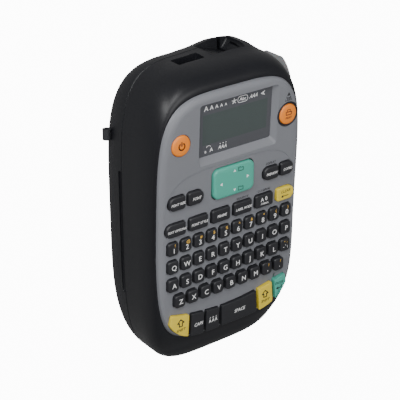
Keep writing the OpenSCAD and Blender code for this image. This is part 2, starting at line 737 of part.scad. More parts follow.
module label_strip() {
  t = 0.2;
  x0 = roll_at[0] + 34;
  y0 = takeup_at[1] - 6;
  y1 = arm_at[1] - 2;
  color("white") translate([0, 0, tape_lo]) linear_extrude(tape_w) polygon([[x0, y0],
    [tape_x, y1], [tape_x, blade_y - 1.5], [tape_x + t, blade_y - 1.5], [tape_x + t, y1 - 0.1],
    [x0 + t, y0 - 0.1]]);
}

// ---- Feed gears: involute flanks on a reduced addendum ------------------------------
function inv_pt(rb, a) = rb*[cos(a) + a*PI/180*sin(a), sin(a) - a*PI/180*cos(a)];
function inv_at(rb, r) = sqrt(max(0, r*r/(rb*rb) - 1))*180/PI;
function turn(p, a) = [p[0]*cos(a) - p[1]*sin(a), p[0]*sin(a) + p[1]*cos(a)];
function flank(n, r) = let(rb = gear_r(n)*cos(20), q = inv_pt(rb, inv_at(rb, max(r, rb))))
  (r < rb ? r/rb : 1)*q;
function tooth(n) = let(rp = gear_r(n), pf = flank(n, rp),
  half = 90/n - 0.06*180/PI/rp/2 + atan2(pf[1], pf[0]),
  radii = [for (k = [0:4]) rp - 0.95*gear_m + k*(0.95 + 0.8)*gear_m/4])
  concat([for (r = radii) let(p = flank(n, r)) turn([p[0], -p[1]], half)],
    [for (k = [4:-1:0]) turn(flank(n, radii[k]), -half)]);
module gear(n, phase) {
  polygon([for (i = [0:n-1]) let(a = 360*i/n + phase, t = tooth(n))
    each [for (k = [len(t)-1:-1:0]) turn(t[k], a)]]);
}
// Phase that puts a gear in mesh with the drive gear, at direction dir from it
function mesh_phase(n, dir) = dir + 180 + 180/n
  + (dir - round(dir*drive_n/360)*360/drive_n)*drive_n/n;

module drive_gear() {
  color("#e6e2d4") at(drive_at, gear_z) linear_extrude(gear_t) difference() {
    gear(drive_n, 0);
    circle(shaft_r + bearing_gap);
    for (a = [0:60:300]) rotate(a + 30) translate([8.5, 0]) circle(2.2);
  }
}
module platen_gear() {
  color("#e6e2d4") at(platen_at, gear_z) linear_extrude(gear_t) difference() {
    gear(platen_n, mesh_phase(platen_n, 90));
    circle(shaft_r);
  }
}
module motor_pinion() {
  color("#b9a25a") at(pinion_at, gear_z) linear_extrude(gear_t) difference() {
    gear(pinion_n, mesh_phase(pinion_n, pinion_dir));
    circle(1);
  }
}
module motor_shaft() {
  in_motor = 9;
  color("silver") at(pinion_at, deck_z - in_motor)
    cylinder(r = 1, h = gear_z + gear_t + 1 - deck_z + in_motor);
}
module feed_motor() {
  color("#8f9296") at(pinion_at, tape_lo) difference() {
    cylinder(r = motor_r, h = deck_z - tape_lo);
    translate([0, 0, deck_z - tape_lo - 10]) cylinder(r = 1 + bearing_gap, h = 12);
  }
}
module takeup_spindle() {
  color("#e6e2d4") {
    at(takeup_at, gear_z) linear_extrude(gear_t) gear(ribbon_n, mesh_phase(ribbon_n, takeup_dir));
    at(takeup_at, deck_z - 2) cylinder(r = shaft_r, h = gear_z - deck_z + 2.5);
    at(takeup_at, tape_lo - 0.5) cylinder(r = 2.5, h = deck_z - 1.2 - tape_lo + 0.5);
  }
}

// ---- Print head, platen and cutter --------------------------------------------------
module platen_shaft() {
  color("silver") at(platen_at, tape_lo - 2) cylinder(r = shaft_r, h = gear_z + gear_t + 1 - tape_lo + 2);
}
module platen_roller() {
  color("#2a2a2c") at(platen_at, tape_lo) difference() {
    cylinder(r = platen_r, h = tape_w);
    translate([0, 0, -1]) cylinder(r = shaft_r, h = tape_w + 2);
  }
}
head_t = 3;
head_x = tape_x - head_gap - head_t;
arm_t = 2.6;
module print_head() {
  color("#d8d4c8") translate([head_x, platen_at[1] - 5, tape_lo]) cube([head_t, 9, tape_w]);
}
module head_arm() {
  hub_r = 3.6;
  color("#9a9ca0") difference() {
    union() {
      at(arm_at, tape_lo) cylinder(r = hub_r, h = tape_w - 2);
      translate([0, 0, tape_lo]) linear_extrude(tape_w - 2) polygon([arm_at + [0, -hub_r + 0.5],
        [head_x, arm_at[1] + 3], [head_x, platen_at[1] + 4], [head_x - arm_t, platen_at[1] + 4],
        [head_x - arm_t, platen_at[1] - 4], arm_at + [-hub_r + 0.4, 1]]);
    }
    at(arm_at, tape_lo - 1) cylinder(r = shaft_r + bearing_gap, h = tape_w + 2);
  }
}
module head_spring() {
  z0 = tape_lo + tape_w - 1;
  turns = 4;
  wire = 0.4;
  color("silver") at(arm_at, z0) coil(2.6, wire, (deck_z - z0 - 2*wire)/turns, turns);
}
button_tip = [tape_x + 6 + carrier_size[0] + part_gap, carrier_at[1] + 1.5];
tongue_w = 2.4;
lever_z = deck_top + 2.6;
lever_t = 3.4;
function hug(off, y0, y1, n) = [for (k = [0:n]) let(y = y0 + (y1 - y0)*k/n)
  [(side_x + off)*pow(1 - pow(y/(end_y + off), corner_n), 1/corner_n), y]];
module cutter_button() {
  pad_out = hug(2.4, button_y0, button_y1, 8);
  pad_in = hug(-2, button_y1, button_y0, 8);
  arm = [[-3, -1], [2.2, -1], [2.2, 5.4], [4.5, 7.5], [-3.5, 18]];
  color("#6b6d70") difference() {
    union() {
      translate([0, 0, button_lo]) linear_extrude(button_hi - button_lo)
        polygon(concat(pad_out, pad_in));
      at(button_pivot, lever_z) cylinder(r = 3.4, h = lever_t);
      translate([0, 0, lever_z]) linear_extrude(lever_t) polygon([for (p = arm) button_pivot + p]);
      translate([0, 0, lever_z]) linear_extrude(lever_t) polygon([button_pivot + [-1, 14],
        button_pivot + [-2.5, 18], button_tip + [0, 0.4], button_tip + [0, -1.4]]);
    }
    at(button_pivot, lever_z - 1) cylinder(r = shaft_r + bearing_gap, h = lever_t + 2);
  }
}
module cutter_spring() {
  wire = 0.4;
  color("silver") at(button_pivot, deck_top + wire + 0.05) coil(2.5, wire, 0.8, 2);
}
module blade_carrier() {
  color("#3a3b3f") {
    at(carrier_at, tape_lo + 1.5) cube([carrier_size[0], carrier_size[1], deck_z - 3.5 - tape_lo]);
    translate([carrier_at[0], carrier_at[1] + (carrier_size[1] - tongue_w)/2, deck_z - 3])
      cube([carrier_size[0], tongue_w, lever_z + lever_t - deck_z + 3]);
  }
}
module cutter_blade() {
  x0 = tape_x + 1.6;
  color("silver") translate([0, 0, tape_lo - 0.8]) linear_extrude(tape_w + 1.6)
    polygon([[x0, blade_y], [x0 + 1, blade_y + blade_t], [carrier_at[0] + 7, blade_y + blade_t],
      [carrier_at[0] + 7, blade_y]]);
}
module fixed_blade() {
  color("silver") translate([tape_x - 5, blade_y - 0.2 - blade_t, tape_lo - 0.8])
    cube([3.6, blade_t, deck_z - tape_lo + 0.8]);
}

front_case();
face_panel();
lcd_window();
lcd_module();
chassis();
back_cover();
rubber_feet();
strap_eyelet();
screws();
battery_cells();
battery_springs();
battery_contacts();
main_board();
keypad_mat();
power_inlet();
cartridge_shell();
label_roll();
ribbon_supply();
ribbon_takeup();
label_strip();
print_head();
head_arm();
head_spring();
platen_shaft();
platen_roller();
platen_gear();
feed_motor();
motor_shaft();
motor_pinion();
drive_gear();
takeup_spindle();
cutter_button();
cutter_blade();
blade_carrier();
fixed_blade();
cutter_spring();
nav_gimbal();
nav_pad();
power_key();
print_key();
digit_keys();
upper_letter_keys();
middle_letter_keys();
lower_letter_keys();
size_key();
font_key();
preview_key();
copies_key();
text_key();
style_key();
frame_key();
mode_key();
symbol_key();
clear_key();
shift_left_key();
caps_key();
accent_key();
space_key();
shift_right_key();
enter_key();
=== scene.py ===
# %% [markdown]
# # A handheld label maker
# The object is a keyboard label printer that lies on its back: +Z comes out of the keys, +Y points
# to the end where the label comes out, and +X is to the right. The CAD frame fixes every place and
# every size. This lesson gives each visible piece its finished shape and its finish.

# %% Load the frame
import json
import math

import bmesh
import bpy
from mathutils import Matrix, Vector


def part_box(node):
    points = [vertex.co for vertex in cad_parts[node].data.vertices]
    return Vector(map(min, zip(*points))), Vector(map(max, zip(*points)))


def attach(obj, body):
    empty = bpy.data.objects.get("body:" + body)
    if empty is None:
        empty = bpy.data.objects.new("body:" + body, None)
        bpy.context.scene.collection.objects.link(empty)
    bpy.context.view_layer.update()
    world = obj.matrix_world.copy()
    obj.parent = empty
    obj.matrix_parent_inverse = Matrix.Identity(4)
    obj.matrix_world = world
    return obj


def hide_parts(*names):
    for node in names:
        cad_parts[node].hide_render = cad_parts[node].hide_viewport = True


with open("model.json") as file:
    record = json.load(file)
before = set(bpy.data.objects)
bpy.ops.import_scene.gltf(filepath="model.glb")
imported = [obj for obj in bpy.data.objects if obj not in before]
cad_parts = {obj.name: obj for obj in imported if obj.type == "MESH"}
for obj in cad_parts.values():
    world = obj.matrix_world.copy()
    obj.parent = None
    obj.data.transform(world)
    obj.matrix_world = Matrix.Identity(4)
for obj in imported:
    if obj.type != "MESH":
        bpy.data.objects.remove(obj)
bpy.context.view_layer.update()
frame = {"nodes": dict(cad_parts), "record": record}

MM = 0.001
scene = bpy.context.scene
nodes = frame["nodes"]


# %% [markdown]
# The numbers below are read from the frame in millimetres, so that every shell follows the CAD.
# The outline of this case is a superellipse, which is a rectangle with very full round corners.

# %% Sizes from the frame
def box_mm(node):
    low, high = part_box(node)
    return low / MM, high / MM


case_low, case_high = box_mm("front_case")
panel_low, panel_high = box_mm("face_panel")
SIDE = case_high.x
END = -case_low.y
SEAM = case_low.z
SEAM_GAP = 0.1
FOOT = box_mm("back_cover")[0].z
POWER = 4.4
WALL = 2.2
PANEL_A = panel_high.x
PANEL_B = (panel_high.y - panel_low.y) / 2
PANEL_DY = (panel_high.y + panel_low.y) / 2
KEY_TOP = box_mm("digit_keys")[1].z
KEY_PROUD = 2.0
DIGITS_Y = -7.4
RISE_FROM = -10
RISE = 0.05
FALL_FROM = -46
FALL_LENGTH = 30
FALL_DEPTH = 2.7
FACE = KEY_TOP - KEY_PROUD - RISE * (DIGITS_Y - RISE_FROM)
ROLL = FACE - 18
EDGE_W = 5.0
EDGE_FALL = 3.0
HOOD = 3.0
HOOD_X = (-3, 38)
print(f"case {2 * SIDE:.1f} x {2 * END:.1f} mm, seam at {SEAM:.1f}, face at {FACE:.1f}")


def smooth(u):
    u = max(0.0, min(1.0, u))
    return u * u * (3 - 2 * u)


def lift(y):
    """How far the face rises above the flat keyboard plane, in mm."""
    up = RISE * max(0.0, y - RISE_FROM)
    down = FALL_DEPTH * max(0.0, min(1.25, (FALL_FROM - y) / FALL_LENGTH)) ** 2
    return up - down


def hood(x, z):
    """The swelling of the label end round the outlet, in mm."""
    across = smooth((x - HOOD_X[0]) / 8) * smooth((HOOD_X[1] - x) / 10)
    return HOOD * across * smooth((ROLL + 4 - z) / 10) * smooth((z - 3) / 14)


# %% [markdown]
# A shell is drawn as a stack of rings. A flat grid primitive is rolled into a tube, one row of the
# grid for each ring, and the seam where its first and last columns meet is merged. Working from
# rings keeps the surface smooth, and one list of rings can hold the outside, the lip and the inside.

# %% Ring tools
RING_POINTS = 160
MERGE = 2e-6


def superellipse(a, b, cy=0.0, count=RING_POINTS, power=POWER):
    points = []
    for i in range(count):
        t = 2 * math.pi * i / count
        c, s = math.cos(t), math.sin(t)
        points.append((math.copysign(a * abs(c) ** (2 / power), c),
                       cy + math.copysign(b * abs(s) ** (2 / power), s)))
    return points


def ring(a, b, cy, z, follow=0.0, swell=False):
    out = []
    for x, y in superellipse(a, b, cy):
        dy = hood(x, z) * smooth((y - 0.7 * b) / (0.2 * b)) if swell else 0.0
        out.append(Vector((x, y + dy, z + follow * lift(y))) * MM)
    return out


def deselect():
    bpy.ops.object.select_all(action="DESELECT")


def activate(obj):
    deselect()
    obj.select_set(True)
    bpy.context.view_layer.objects.active = obj


def in_edit(obj, *steps):
    """Run edit-mode steps on the whole of an object."""
    activate(obj)
    bpy.ops.object.mode_set(mode="EDIT")
    bpy.ops.mesh.select_all(action="SELECT")
    for step in steps:
        step()
    bpy.ops.object.mode_set(mode="OBJECT")


def merge():
    bpy.ops.mesh.remove_doubles(threshold=MERGE)


def outward():
    bpy.ops.mesh.select_all(action="SELECT")
    bpy.ops.mesh.normals_make_consistent(inside=False)


def ring_skin(name, rings, loop=False, cap=False):
    """Roll a grid through the rings; loop joins the last ring to the first, cap closes both ends."""
    rows = rings + [rings[0]] if loop else rings
    cols = len(rings[0])
    deselect()
    bpy.ops.mesh.primitive_grid_add(x_subdivisions=cols, y_subdivisions=len(rows) - 1, size=MM)
    obj = bpy.context.object
    obj.name = obj.data.name = name
    places = [row[i % cols] for row in rows for i in range(cols + 1)]
    obj.data.vertices.foreach_set("co", [c for p in places for c in p])
    if cap:
        bm = bmesh.new()
        bm.from_mesh(obj.data)
        bmesh.ops.remove_doubles(bm, verts=bm.verts, dist=MERGE)
        bmesh.ops.holes_fill(bm, edges=[e for e in bm.edges if e.is_boundary], sides=0)
        bm.to_mesh(obj.data)
        bm.free()
    in_edit(obj, merge, outward)
    return obj


def soften(obj, degrees=32):
    activate(obj)
    bpy.ops.object.shade_smooth_by_angle(angle=math.radians(degrees))
    return obj


def boolean(obj, other, how="DIFFERENCE"):
    """Cut or join another mesh, then throw that mesh away."""
    mod = obj.modifiers.new(how.lower(), "BOOLEAN")
    mod.object = other
    mod.operation = how
    mod.solver = "EXACT"
    activate(obj)
    bpy.ops.object.modifier_apply(modifier=mod.name)
    bpy.data.objects.remove(other, do_unlink=True)
    return obj


def bevelled_box(name, low, high, radius=0.0, segments=3):
    """A cube primitive between two corners in mm, with its edges rounded in edit mode."""
    deselect()
    low, high = Vector(low) * MM, Vector(high) * MM
    bpy.ops.mesh.primitive_cube_add(size=1)
    obj = bpy.context.object
    obj.name = obj.data.name = name
    size = high - low
    obj.data.transform(Matrix.Translation((low + high) / 2) @ Matrix.Diagonal((*size, 1)))
    if radius:
        in_edit(obj, lambda: bpy.ops.mesh.bevel(offset=radius * MM, segments=segments, affect="EDGES"))
    return obj


def prism(name, points, low, high):
    """An upright prism over a flat outline, all in mm."""
    rings = [[Vector((x, y, z)) * MM for x, y in points] for z in (low, high)]
    return ring_skin(name, rings, cap=True)


# %% [markdown]
# ## Shader maths
# A small class wraps a socket, so that colour and height can be written as Python expressions.
# Constant values never go through nodes: they are set on the shader's own sockets.

# %% Sockets as values
class Val:
    def __init__(self, mat, socket):
        self.mat, self.socket = mat, socket

    def math(self, op, other=None):
        values = [self] if other is None else [self, other]
        return self.mat.node("ShaderNodeMath", {"operation": op}, values)

    def __add__(self, other):
        return self.math("ADD", other)

    def __mul__(self, other):
        return self.math("MULTIPLY", other)

    def __sub__(self, other):
        return self.math("SUBTRACT", other)

    def __rsub__(self, other):
        return self.mat.node("ShaderNodeMath", {"operation": "SUBTRACT"}, [other, self])

    __radd__, __rmul__ = __add__, __mul__

    def above(self, limit):
        return self.math("GREATER_THAN", limit)

    def below(self, limit):
        return self.math("LESS_THAN", limit)


class Finish:
    """One procedural material: a Principled shader, plus helpers that make its nodes."""

    def __init__(self, name, base, rough, **fixed):
        self.mat = bpy.data.materials.new(name)
        self.mat.use_nodes = True
        self.tree = self.mat.node_tree
        self.shader = self.tree.nodes["Principled BSDF"]
        self.shader.inputs["Base Color"].default_value = (*base, 1)
        self.shader.inputs["Roughness"].default_value = rough
        for key, value in fixed.items():
            self.shader.inputs[key.replace("_", " ")].default_value = value
        coords = self.tree.nodes.new("ShaderNodeTexCoord")
        self.place = coords.outputs["Object"]
        self.base, self.rough = base, rough

    def node(self, kind, settings=None, inputs=(), output=0):
        made = self.tree.nodes.new(kind)
        for key, value in (settings or {}).items():
            setattr(made, key, value)
        pairs = inputs.items() if isinstance(inputs, dict) else enumerate(inputs)
        for key, value in pairs:
            self.set(made.inputs[key], value)
        return Val(self, made.outputs[output])

    def set(self, socket, value):
        if isinstance(value, Val):
            self.tree.links.new(value.socket, socket)
        elif hasattr(value, "is_output"):
            self.tree.links.new(value, socket)
        else:
            socket.default_value = value

    def noise(self, scale, detail=3.0, rough=0.6):
        return self.node("ShaderNodeTexNoise", None,
                         {"Vector": self.place, "Scale": scale, "Detail": detail, "Roughness": rough})

    def cells(self, scale):
        return self.node("ShaderNodeTexVoronoi", None, {"Vector": self.place, "Scale": scale})

    def axis(self, letter):
        return self.node("ShaderNodeSeparateXYZ", None, [self.place], "XYZ".index(letter))

    def blend(self, mask, a, b):
        a, b = (c if isinstance(c, Val) else (*c, 1) for c in (a, b))
        return self.node("ShaderNodeMix", {"data_type": "RGBA"}, {0: mask, 6: a, 7: b}, 2)

    def feed(self, name, value):
        self.set(self.shader.inputs[name], value)
        return self

    def bump(self, height, distance, strength=1.0):
        bumped = self.node("ShaderNodeBump", None,
                           {"Strength": strength, "Distance": distance * MM, "Height": height})
        return self.feed("Normal", bumped)


# %% [markdown]
# ## Finishes
# The case is moulded in charcoal plastic with a fine spark-eroded texture: small pits that spread
# the highlight, a roughness that varies slowly, and a faint mottling of the colour. Every moulded
# part below uses the same recipe with its own colour, grain and gloss.

# %% Moulded plastics and rubbers
def moulded(name, base, rough, grain=2600, depth=0.012, mottling=0.06, vary=0.08, **fixed):
    f = Finish(name, base, rough, **fixed)
    patch = f.noise(90, 4)
    fine = f.noise(grain, 2, 0.7)
    dark = [c * (1 - mottling) for c in base]
    light = [min(1, c * (1 + mottling)) for c in base]
    f.feed("Base Color", f.blend(patch * 0.7 + fine * 0.3, dark, light))
    f.feed("Roughness", (patch - 0.5) * vary + (fine - 0.5) * vary + rough)
    f.bump(fine * 0.7 + f.cells(grain * 0.6) * 0.3, depth)
    return f.mat


CHARCOAL = (0.007, 0.0074, 0.0095)
CASE_BLACK = moulded("charcoal_case", CHARCOAL, 0.38, 2400, 0.02, Specular_IOR_Level=0.3)
COVER_BLACK = moulded("charcoal_cover", CHARCOAL, 0.4, 2400, 0.02, Specular_IOR_Level=0.3)
INNER_BLACK = moulded("black_inner_plastic", (0.02, 0.021, 0.024), 0.5)
PANEL_GREY = moulded("grey_panel", (0.15, 0.155, 0.17), 0.5, 3200, 0.012, 0.04)
BUTTON_GREY = moulded("smoke_grey_button", (0.15, 0.155, 0.16), 0.38, 3000, 0.006,
                      Subsurface_Weight=0.08)
KEY_BLACK = moulded("black_key_rubber", (0.008, 0.0085, 0.011), 0.42, 3600, 0.008, Coat_Weight=0.12,
                    Coat_Roughness=0.35)
KEY_TEAL = moulded("teal_key_rubber", (0.055, 0.32, 0.24), 0.48, 3600, 0.008, 0.04)
KEY_YELLOW = moulded("yellow_key_rubber", (0.62, 0.47, 0.035), 0.46, 3600, 0.008, 0.04)
KEY_ORANGE = moulded("orange_key_rubber", (0.74, 0.2, 0.012), 0.44, 3600, 0.008, 0.05)
MAT_RUBBER = moulded("grey_keypad_rubber", (0.11, 0.11, 0.115), 0.6)
FOOT_RUBBER = moulded("black_foot_rubber", (0.012, 0.012, 0.013), 0.75, 1800, 0.03)
PLATEN_RUBBER = moulded("platen_rubber", (0.02, 0.02, 0.022), 0.6, 5000, 0.01)
GEAR_WHITE = moulded("acetal_gear", (0.74, 0.72, 0.64), 0.36, 2000, 0.004, 0.03,
                     Subsurface_Weight=0.1)
CARTRIDGE = moulded("cartridge_plastic", (0.5, 0.51, 0.5), 0.4, 2600, 0.01, 0.04)
LABEL_FILM = moulded("label_film", (0.84, 0.84, 0.82), 0.35, 1500, 0.003, 0.02)
RIBBON = moulded("ink_ribbon", (0.008, 0.008, 0.01), 0.28, 1800, 0.004)
INK_WHITE = moulded("white_print", (0.78, 0.78, 0.78), 0.5, 4000, 0.003, 0.05)
INK_AMBER = moulded("amber_print", (0.72, 0.42, 0.06), 0.5, 4000, 0.003, 0.05)
INK_DARK = moulded("dark_print", (0.008, 0.008, 0.01), 0.55, 4000, 0.003, 0.1)
HEAD_CERAMIC = moulded("glazed_ceramic", (0.62, 0.6, 0.55), 0.2, 1200, 0.002, 0.03)


# %% [markdown]
# Metal parts are steel, nickel or brass. Their roughness and colour carry fine brushed lines, made
# by stretching a noise along one axis.

# %% Metals
def brushed(name, base, rough, along=(1, 1, 40)):
    f = Finish(name, base, rough, Metallic=1.0)
    turned = f.node("ShaderNodeMapping", None, {"Vector": f.place, "Scale": along})
    lines = f.node("ShaderNodeTexNoise", None, {"Vector": turned, "Scale": 420, "Detail": 4})
    f.feed("Base Color", f.blend(lines, [c * 0.82 for c in base], base))
    f.feed("Roughness", lines * 0.22 + (rough - 0.1))
    f.bump(lines, 0.006)
    return f.mat


STEEL = brushed("brushed_steel", (0.6, 0.6, 0.61), 0.3)
MOTOR_CAN = brushed("motor_can_nickel", (0.42, 0.43, 0.45), 0.34, (30, 30, 1))
BRASS = brushed("turned_brass", (0.62, 0.48, 0.2), 0.3)


# %% [markdown]
# The circuit board shows solder mask with copper tracks under it, which lie on a coarse grid. The
# cells wear a printed sleeve: a dark barrel with a coloured band towards one end.

# %% Board and cells
def board_finish():
    f = Finish("green_solder_mask", (0.012, 0.1, 0.045), 0.35)
    x, y = f.axis("X"), f.axis("Y")
    lanes = (x * 900).math("FRACT").below(0.3) * f.noise(60).above(0.52)
    cross = (y * 700).math("FRACT").below(0.25) * f.noise(75).above(0.55)
    tracks = lanes.math("MAXIMUM", cross)
    f.feed("Base Color", f.blend(tracks, (0.01, 0.085, 0.04), (0.03, 0.19, 0.08)))
    f.bump(tracks, 0.03)
    return f.mat


def cell_finish():
    f = Finish("cell_sleeve", (0.03, 0.04, 0.06), 0.25, Metallic=0.3)
    low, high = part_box("battery_cells")
    y = f.axis("Y")
    band = y.above(high.y - 0.014) * y.below(high.y - 0.002)
    f.feed("Base Color", f.blend(band, (0.03, 0.045, 0.075), (0.55, 0.3, 0.09)))
    f.feed("Roughness", f.noise(300) * 0.12 + 0.2)
    return f.mat


BOARD = board_finish()
CELL = cell_finish()


# %% [markdown]
# ## The front case
# The front half is one thin moulding: straight sides up from the seam, then a broad roll up to a
# rim round the grey panel. The list of rings walks up the outside, over the rim, down past the
# ledge that the panel sits on and down the inside. Both ends of the list meet at the seam.

# %% Front case shell
RIM = 0.5
SEAT = 5.0
CHAMFER = 0.35
WALL_RINGS = (29, 31.5, 34, 37)


def quarter(steps, start=1):
    return [math.radians(90 * k / steps) for k in range(start, steps + 1)]


def rolled(inset, base, top, steps):
    """Rings of the roll between the side wall and the rim."""
    rim_a, rim_b = PANEL_A + RIM - inset, PANEL_B + RIM - inset
    side_a, side_b = SIDE - inset, END - inset
    return [ring(rim_a + (side_a - rim_a) * math.cos(t), rim_b + (side_b - rim_b) * math.cos(t),
                 PANEL_DY * (1 - math.cos(t)), base + (top - base) * math.sin(t), math.sin(t),
                 swell=True) for t in quarter(steps)]


def case_rings():
    side = [ring(SIDE - CHAMFER, END - CHAMFER, 0, SEAM, swell=True)]
    side += [ring(SIDE, END, 0, z, swell=True) for z in (SEAM + CHAMFER, *WALL_RINGS, ROLL)]
    roll = rolled(0, ROLL, FACE - EDGE_FALL, 14)
    lip = [ring(PANEL_A + 0.1, PANEL_B + 0.1, PANEL_DY, FACE - fall, 1) for fall in (EDGE_FALL, SEAT)]
    inner = rolled(WALL, ROLL - 1, FACE - SEAT - 1.8, 8)[::-1]
    down = [ring(SIDE - WALL, END - WALL, 0, z, swell=True) for z in (ROLL - 1, 31, SEAM)]
    return side + roll + lip + inner + down


case = ring_skin("front_case_shell", case_rings(), loop=True)
print("front case:", len(case.data.polygons), "faces")


# %% [markdown]
# The label end has a scoop that ramps down to the slit where the label comes out and a recess for
# the power plug, and the right-hand side has a window for the cutter button. Each is a solid that a
# Boolean modifier takes away. The scoop and the recess first get a block of plastic behind the wall.

# %% Openings in the front case
SCOOP_X = (0.5, 25.0)
SCOOP_Z = (22.0, 40.0)
BLOCK_X = (SCOOP_X[0] - 2.5, SCOOP_X[1] + 3.5)
BLOCK_DEPTH = 9
TAPE_X = 19.0
SLIT_X = (TAPE_X - 1.2, TAPE_X + 1.2)
SLIT_Z = (14.2, 33.8)
SLIT_DEPTH = 12
SKIN = 1.2
inlet_low, inlet_high = box_mm("power_inlet")
INLET_X = (inlet_low.x + inlet_high.x) / 2
INLET_Z = (inlet_low.z + inlet_high.z) / 2
button_low, button_high = box_mm("cutter_button")
BUTTON_GAP = 0.5


def inlet_box(name, half_x, half_z, y0, y1, radius=0.0):
    """A box that is centred on the power inlet."""
    return bevelled_box(name, (INLET_X - half_x, y0, INLET_Z - half_z),
                        (INLET_X + half_x, y1, INLET_Z + half_z), radius)


boolean(case, bevelled_box("scoop_block", (BLOCK_X[0], END - BLOCK_DEPTH, SEAM),
                           (BLOCK_X[1], END - SKIN, SCOOP_Z[1] + 2)), "UNION")
boolean(case, inlet_box("inlet_block", 12, 7, END - 7.5, END - SKIN), "UNION")


def scoop_cutter():
    """A ramp from the left that deepens to the slit, and a short ramp back out at the right."""
    x0, x1 = SCOOP_X
    floor_y, mouth_y, over_y = END - 4.5, END + 0.5, END + 6
    shape = [(x0, over_y), (x0, mouth_y), (SLIT_X[0], floor_y), (TAPE_X + 2.4, floor_y),
             (x1, mouth_y), (x1, over_y)]
    cutter = prism("scoop_cutter", shape, *SCOOP_Z)
    in_edit(cutter, lambda: bpy.ops.mesh.bevel(offset=0.9 * MM, segments=3, affect="EDGES"))
    return cutter


boolean(case, scoop_cutter())
boolean(case, bevelled_box("slit_cutter", (SLIT_X[0], END - SLIT_DEPTH, SLIT_Z[0]),
                           (SLIT_X[1], END - 3, SLIT_Z[1]), 0.3))
boolean(case, inlet_box("inlet_cutter", 9, 4.5, END - 5, END + 6, 0.8))


def round_bore(name, x, z, radius, y0, y1, points=48):
    deselect()
    bpy.ops.mesh.primitive_cylinder_add(vertices=points, radius=radius * MM, depth=(y1 - y0) * MM,
                                        location=(x * MM, (y0 + y1) / 2 * MM, z * MM),
                                        rotation=(math.pi / 2, 0, 0))
    obj = bpy.context.object
    bpy.ops.object.transform_apply(location=True, rotation=True, scale=True)
    obj.name = name
    return obj


boolean(case, round_bore("socket_bore", INLET_X, INLET_Z, 3.7, END - 12, END))
boolean(case, bevelled_box("button_cutter", (SIDE - 17, button_low.y - BUTTON_GAP, button_low.z - BUTTON_GAP),
                           (SIDE + 3, button_high.y + BUTTON_GAP, button_high.z + BUTTON_GAP), 1.2))
print("after the openings:", len(case.data.polygons), "faces")


# %% [markdown]
# A small function finishes every piece the same way: smooth shading up to an edge angle, its
# material, the body that it moves with and the CAD nodes that it replaces.

# %% Finish a piece
made_pieces = []


def finish_piece(obj, finish, body, slot, *replaced, angle=32):
    obj.data.materials.clear()
    obj.data.materials.append(finish)
    soften(obj, angle)
    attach(obj, body)
    if replaced:
        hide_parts(*replaced)
    made_pieces.append(obj.name)
    return obj


finish_piece(case, CASE_BLACK, "case", "case_black", "front_case")
print("finished:", made_pieces[-1])


# %% [markdown]
# ## The back cover
# The cover is the deep tray that closes the back: the cartridge and the cells come out when it is
# pulled off. It is drawn like the case, from the middle of its flat back outwards and up to the
# seam, then down its inside. Two long finger grooves below the seam help to pull it. The scoop for
# the label runs down into the cover, so a block is trimmed to the cover's shape, joined and cut.

# %% Back cover shell
COVER_IN = (10.0, 25.0)
GROOVE_DEPTH = 1.4
GROOVE_Y = (-47.5, 33)
GROOVE_Z = (22.8, 27)


def cover_bowl(inset, steps, top):
    base = FOOT + inset
    a, b = SIDE - COVER_IN[0] - inset, END - COVER_IN[1] - inset
    flat = [ring(a * s, b * s, 0, base) for s in (0.02, 0.5, 0.97)]
    bowl = [ring(a + COVER_IN[0] * math.cos(t), b + COVER_IN[1] * math.cos(t), 0,
                 top - (top - base) * math.sin(t), swell=True)
            for t in quarter(steps, 0)[::-1]]
    return flat + bowl


COVER_TOP = SEAM - SEAM_GAP
outer = cover_bowl(0, 14, COVER_TOP - CHAMFER)
inner = cover_bowl(WALL, 10, COVER_TOP - CHAMFER)
lip = [ring(SIDE - d, END - d, 0, COVER_TOP, swell=True) for d in (CHAMFER, WALL)]
cover = ring_skin("back_cover_shell", outer + lip + inner[::-1], cap=True)
for side in (-1, 1):
    inside, outside = side * (SIDE - GROOVE_DEPTH), side * (SIDE + 3)
    boolean(cover, bevelled_box("groove_cutter", (min(inside, outside), GROOVE_Y[0], GROOVE_Z[0]),
                                (max(inside, outside), GROOVE_Y[1], GROOVE_Z[1]), 0.7))
backing = bevelled_box("cover_scoop_block", (BLOCK_X[0], END - BLOCK_DEPTH, SLIT_Z[0] - 2),
                       (BLOCK_X[1], END + 6, COVER_TOP))
boolean(backing, ring_skin("cover_core", cover_bowl(0.5, 14, COVER_TOP), cap=True), "INTERSECT")
boolean(cover, backing, "UNION")
boolean(cover, scoop_cutter())
boolean(cover, bevelled_box("slit_cutter", (SLIT_X[0], END - SLIT_DEPTH, SLIT_Z[0]),
                            (SLIT_X[1], END + 8, SEAM + 1)))
finish_piece(cover, COVER_BLACK, "cover", "case_black", "back_cover")
print("back cover:", len(cover.data.polygons), "faces")


# %% [markdown]
# The feet are four soft rubber buttons. Four discs are joined, extruded and inset a few times, which
# rounds their rims, and then mirrored so that the round side faces down.

# %% Rubber feet
def join(name, objs):
    deselect()
    for obj in objs:
        obj.select_set(True)
    bpy.context.view_layer.objects.active = objs[0]
    if len(objs) > 1:
        bpy.ops.object.join()
    objs[0].name = objs[0].data.name = name
    return objs[0]


def plate(name, points, z):
    """One flat face with the given outline in mm, which caps are pulled up from."""
    deselect()
    bpy.ops.mesh.primitive_circle_add(vertices=len(points), radius=MM, fill_type="NGON")
    obj = bpy.context.object
    obj.name = name
    obj.data.vertices.foreach_set("co", [c * MM for x, y in points for c in (x, y, z)])
    obj.data.update()
    return obj


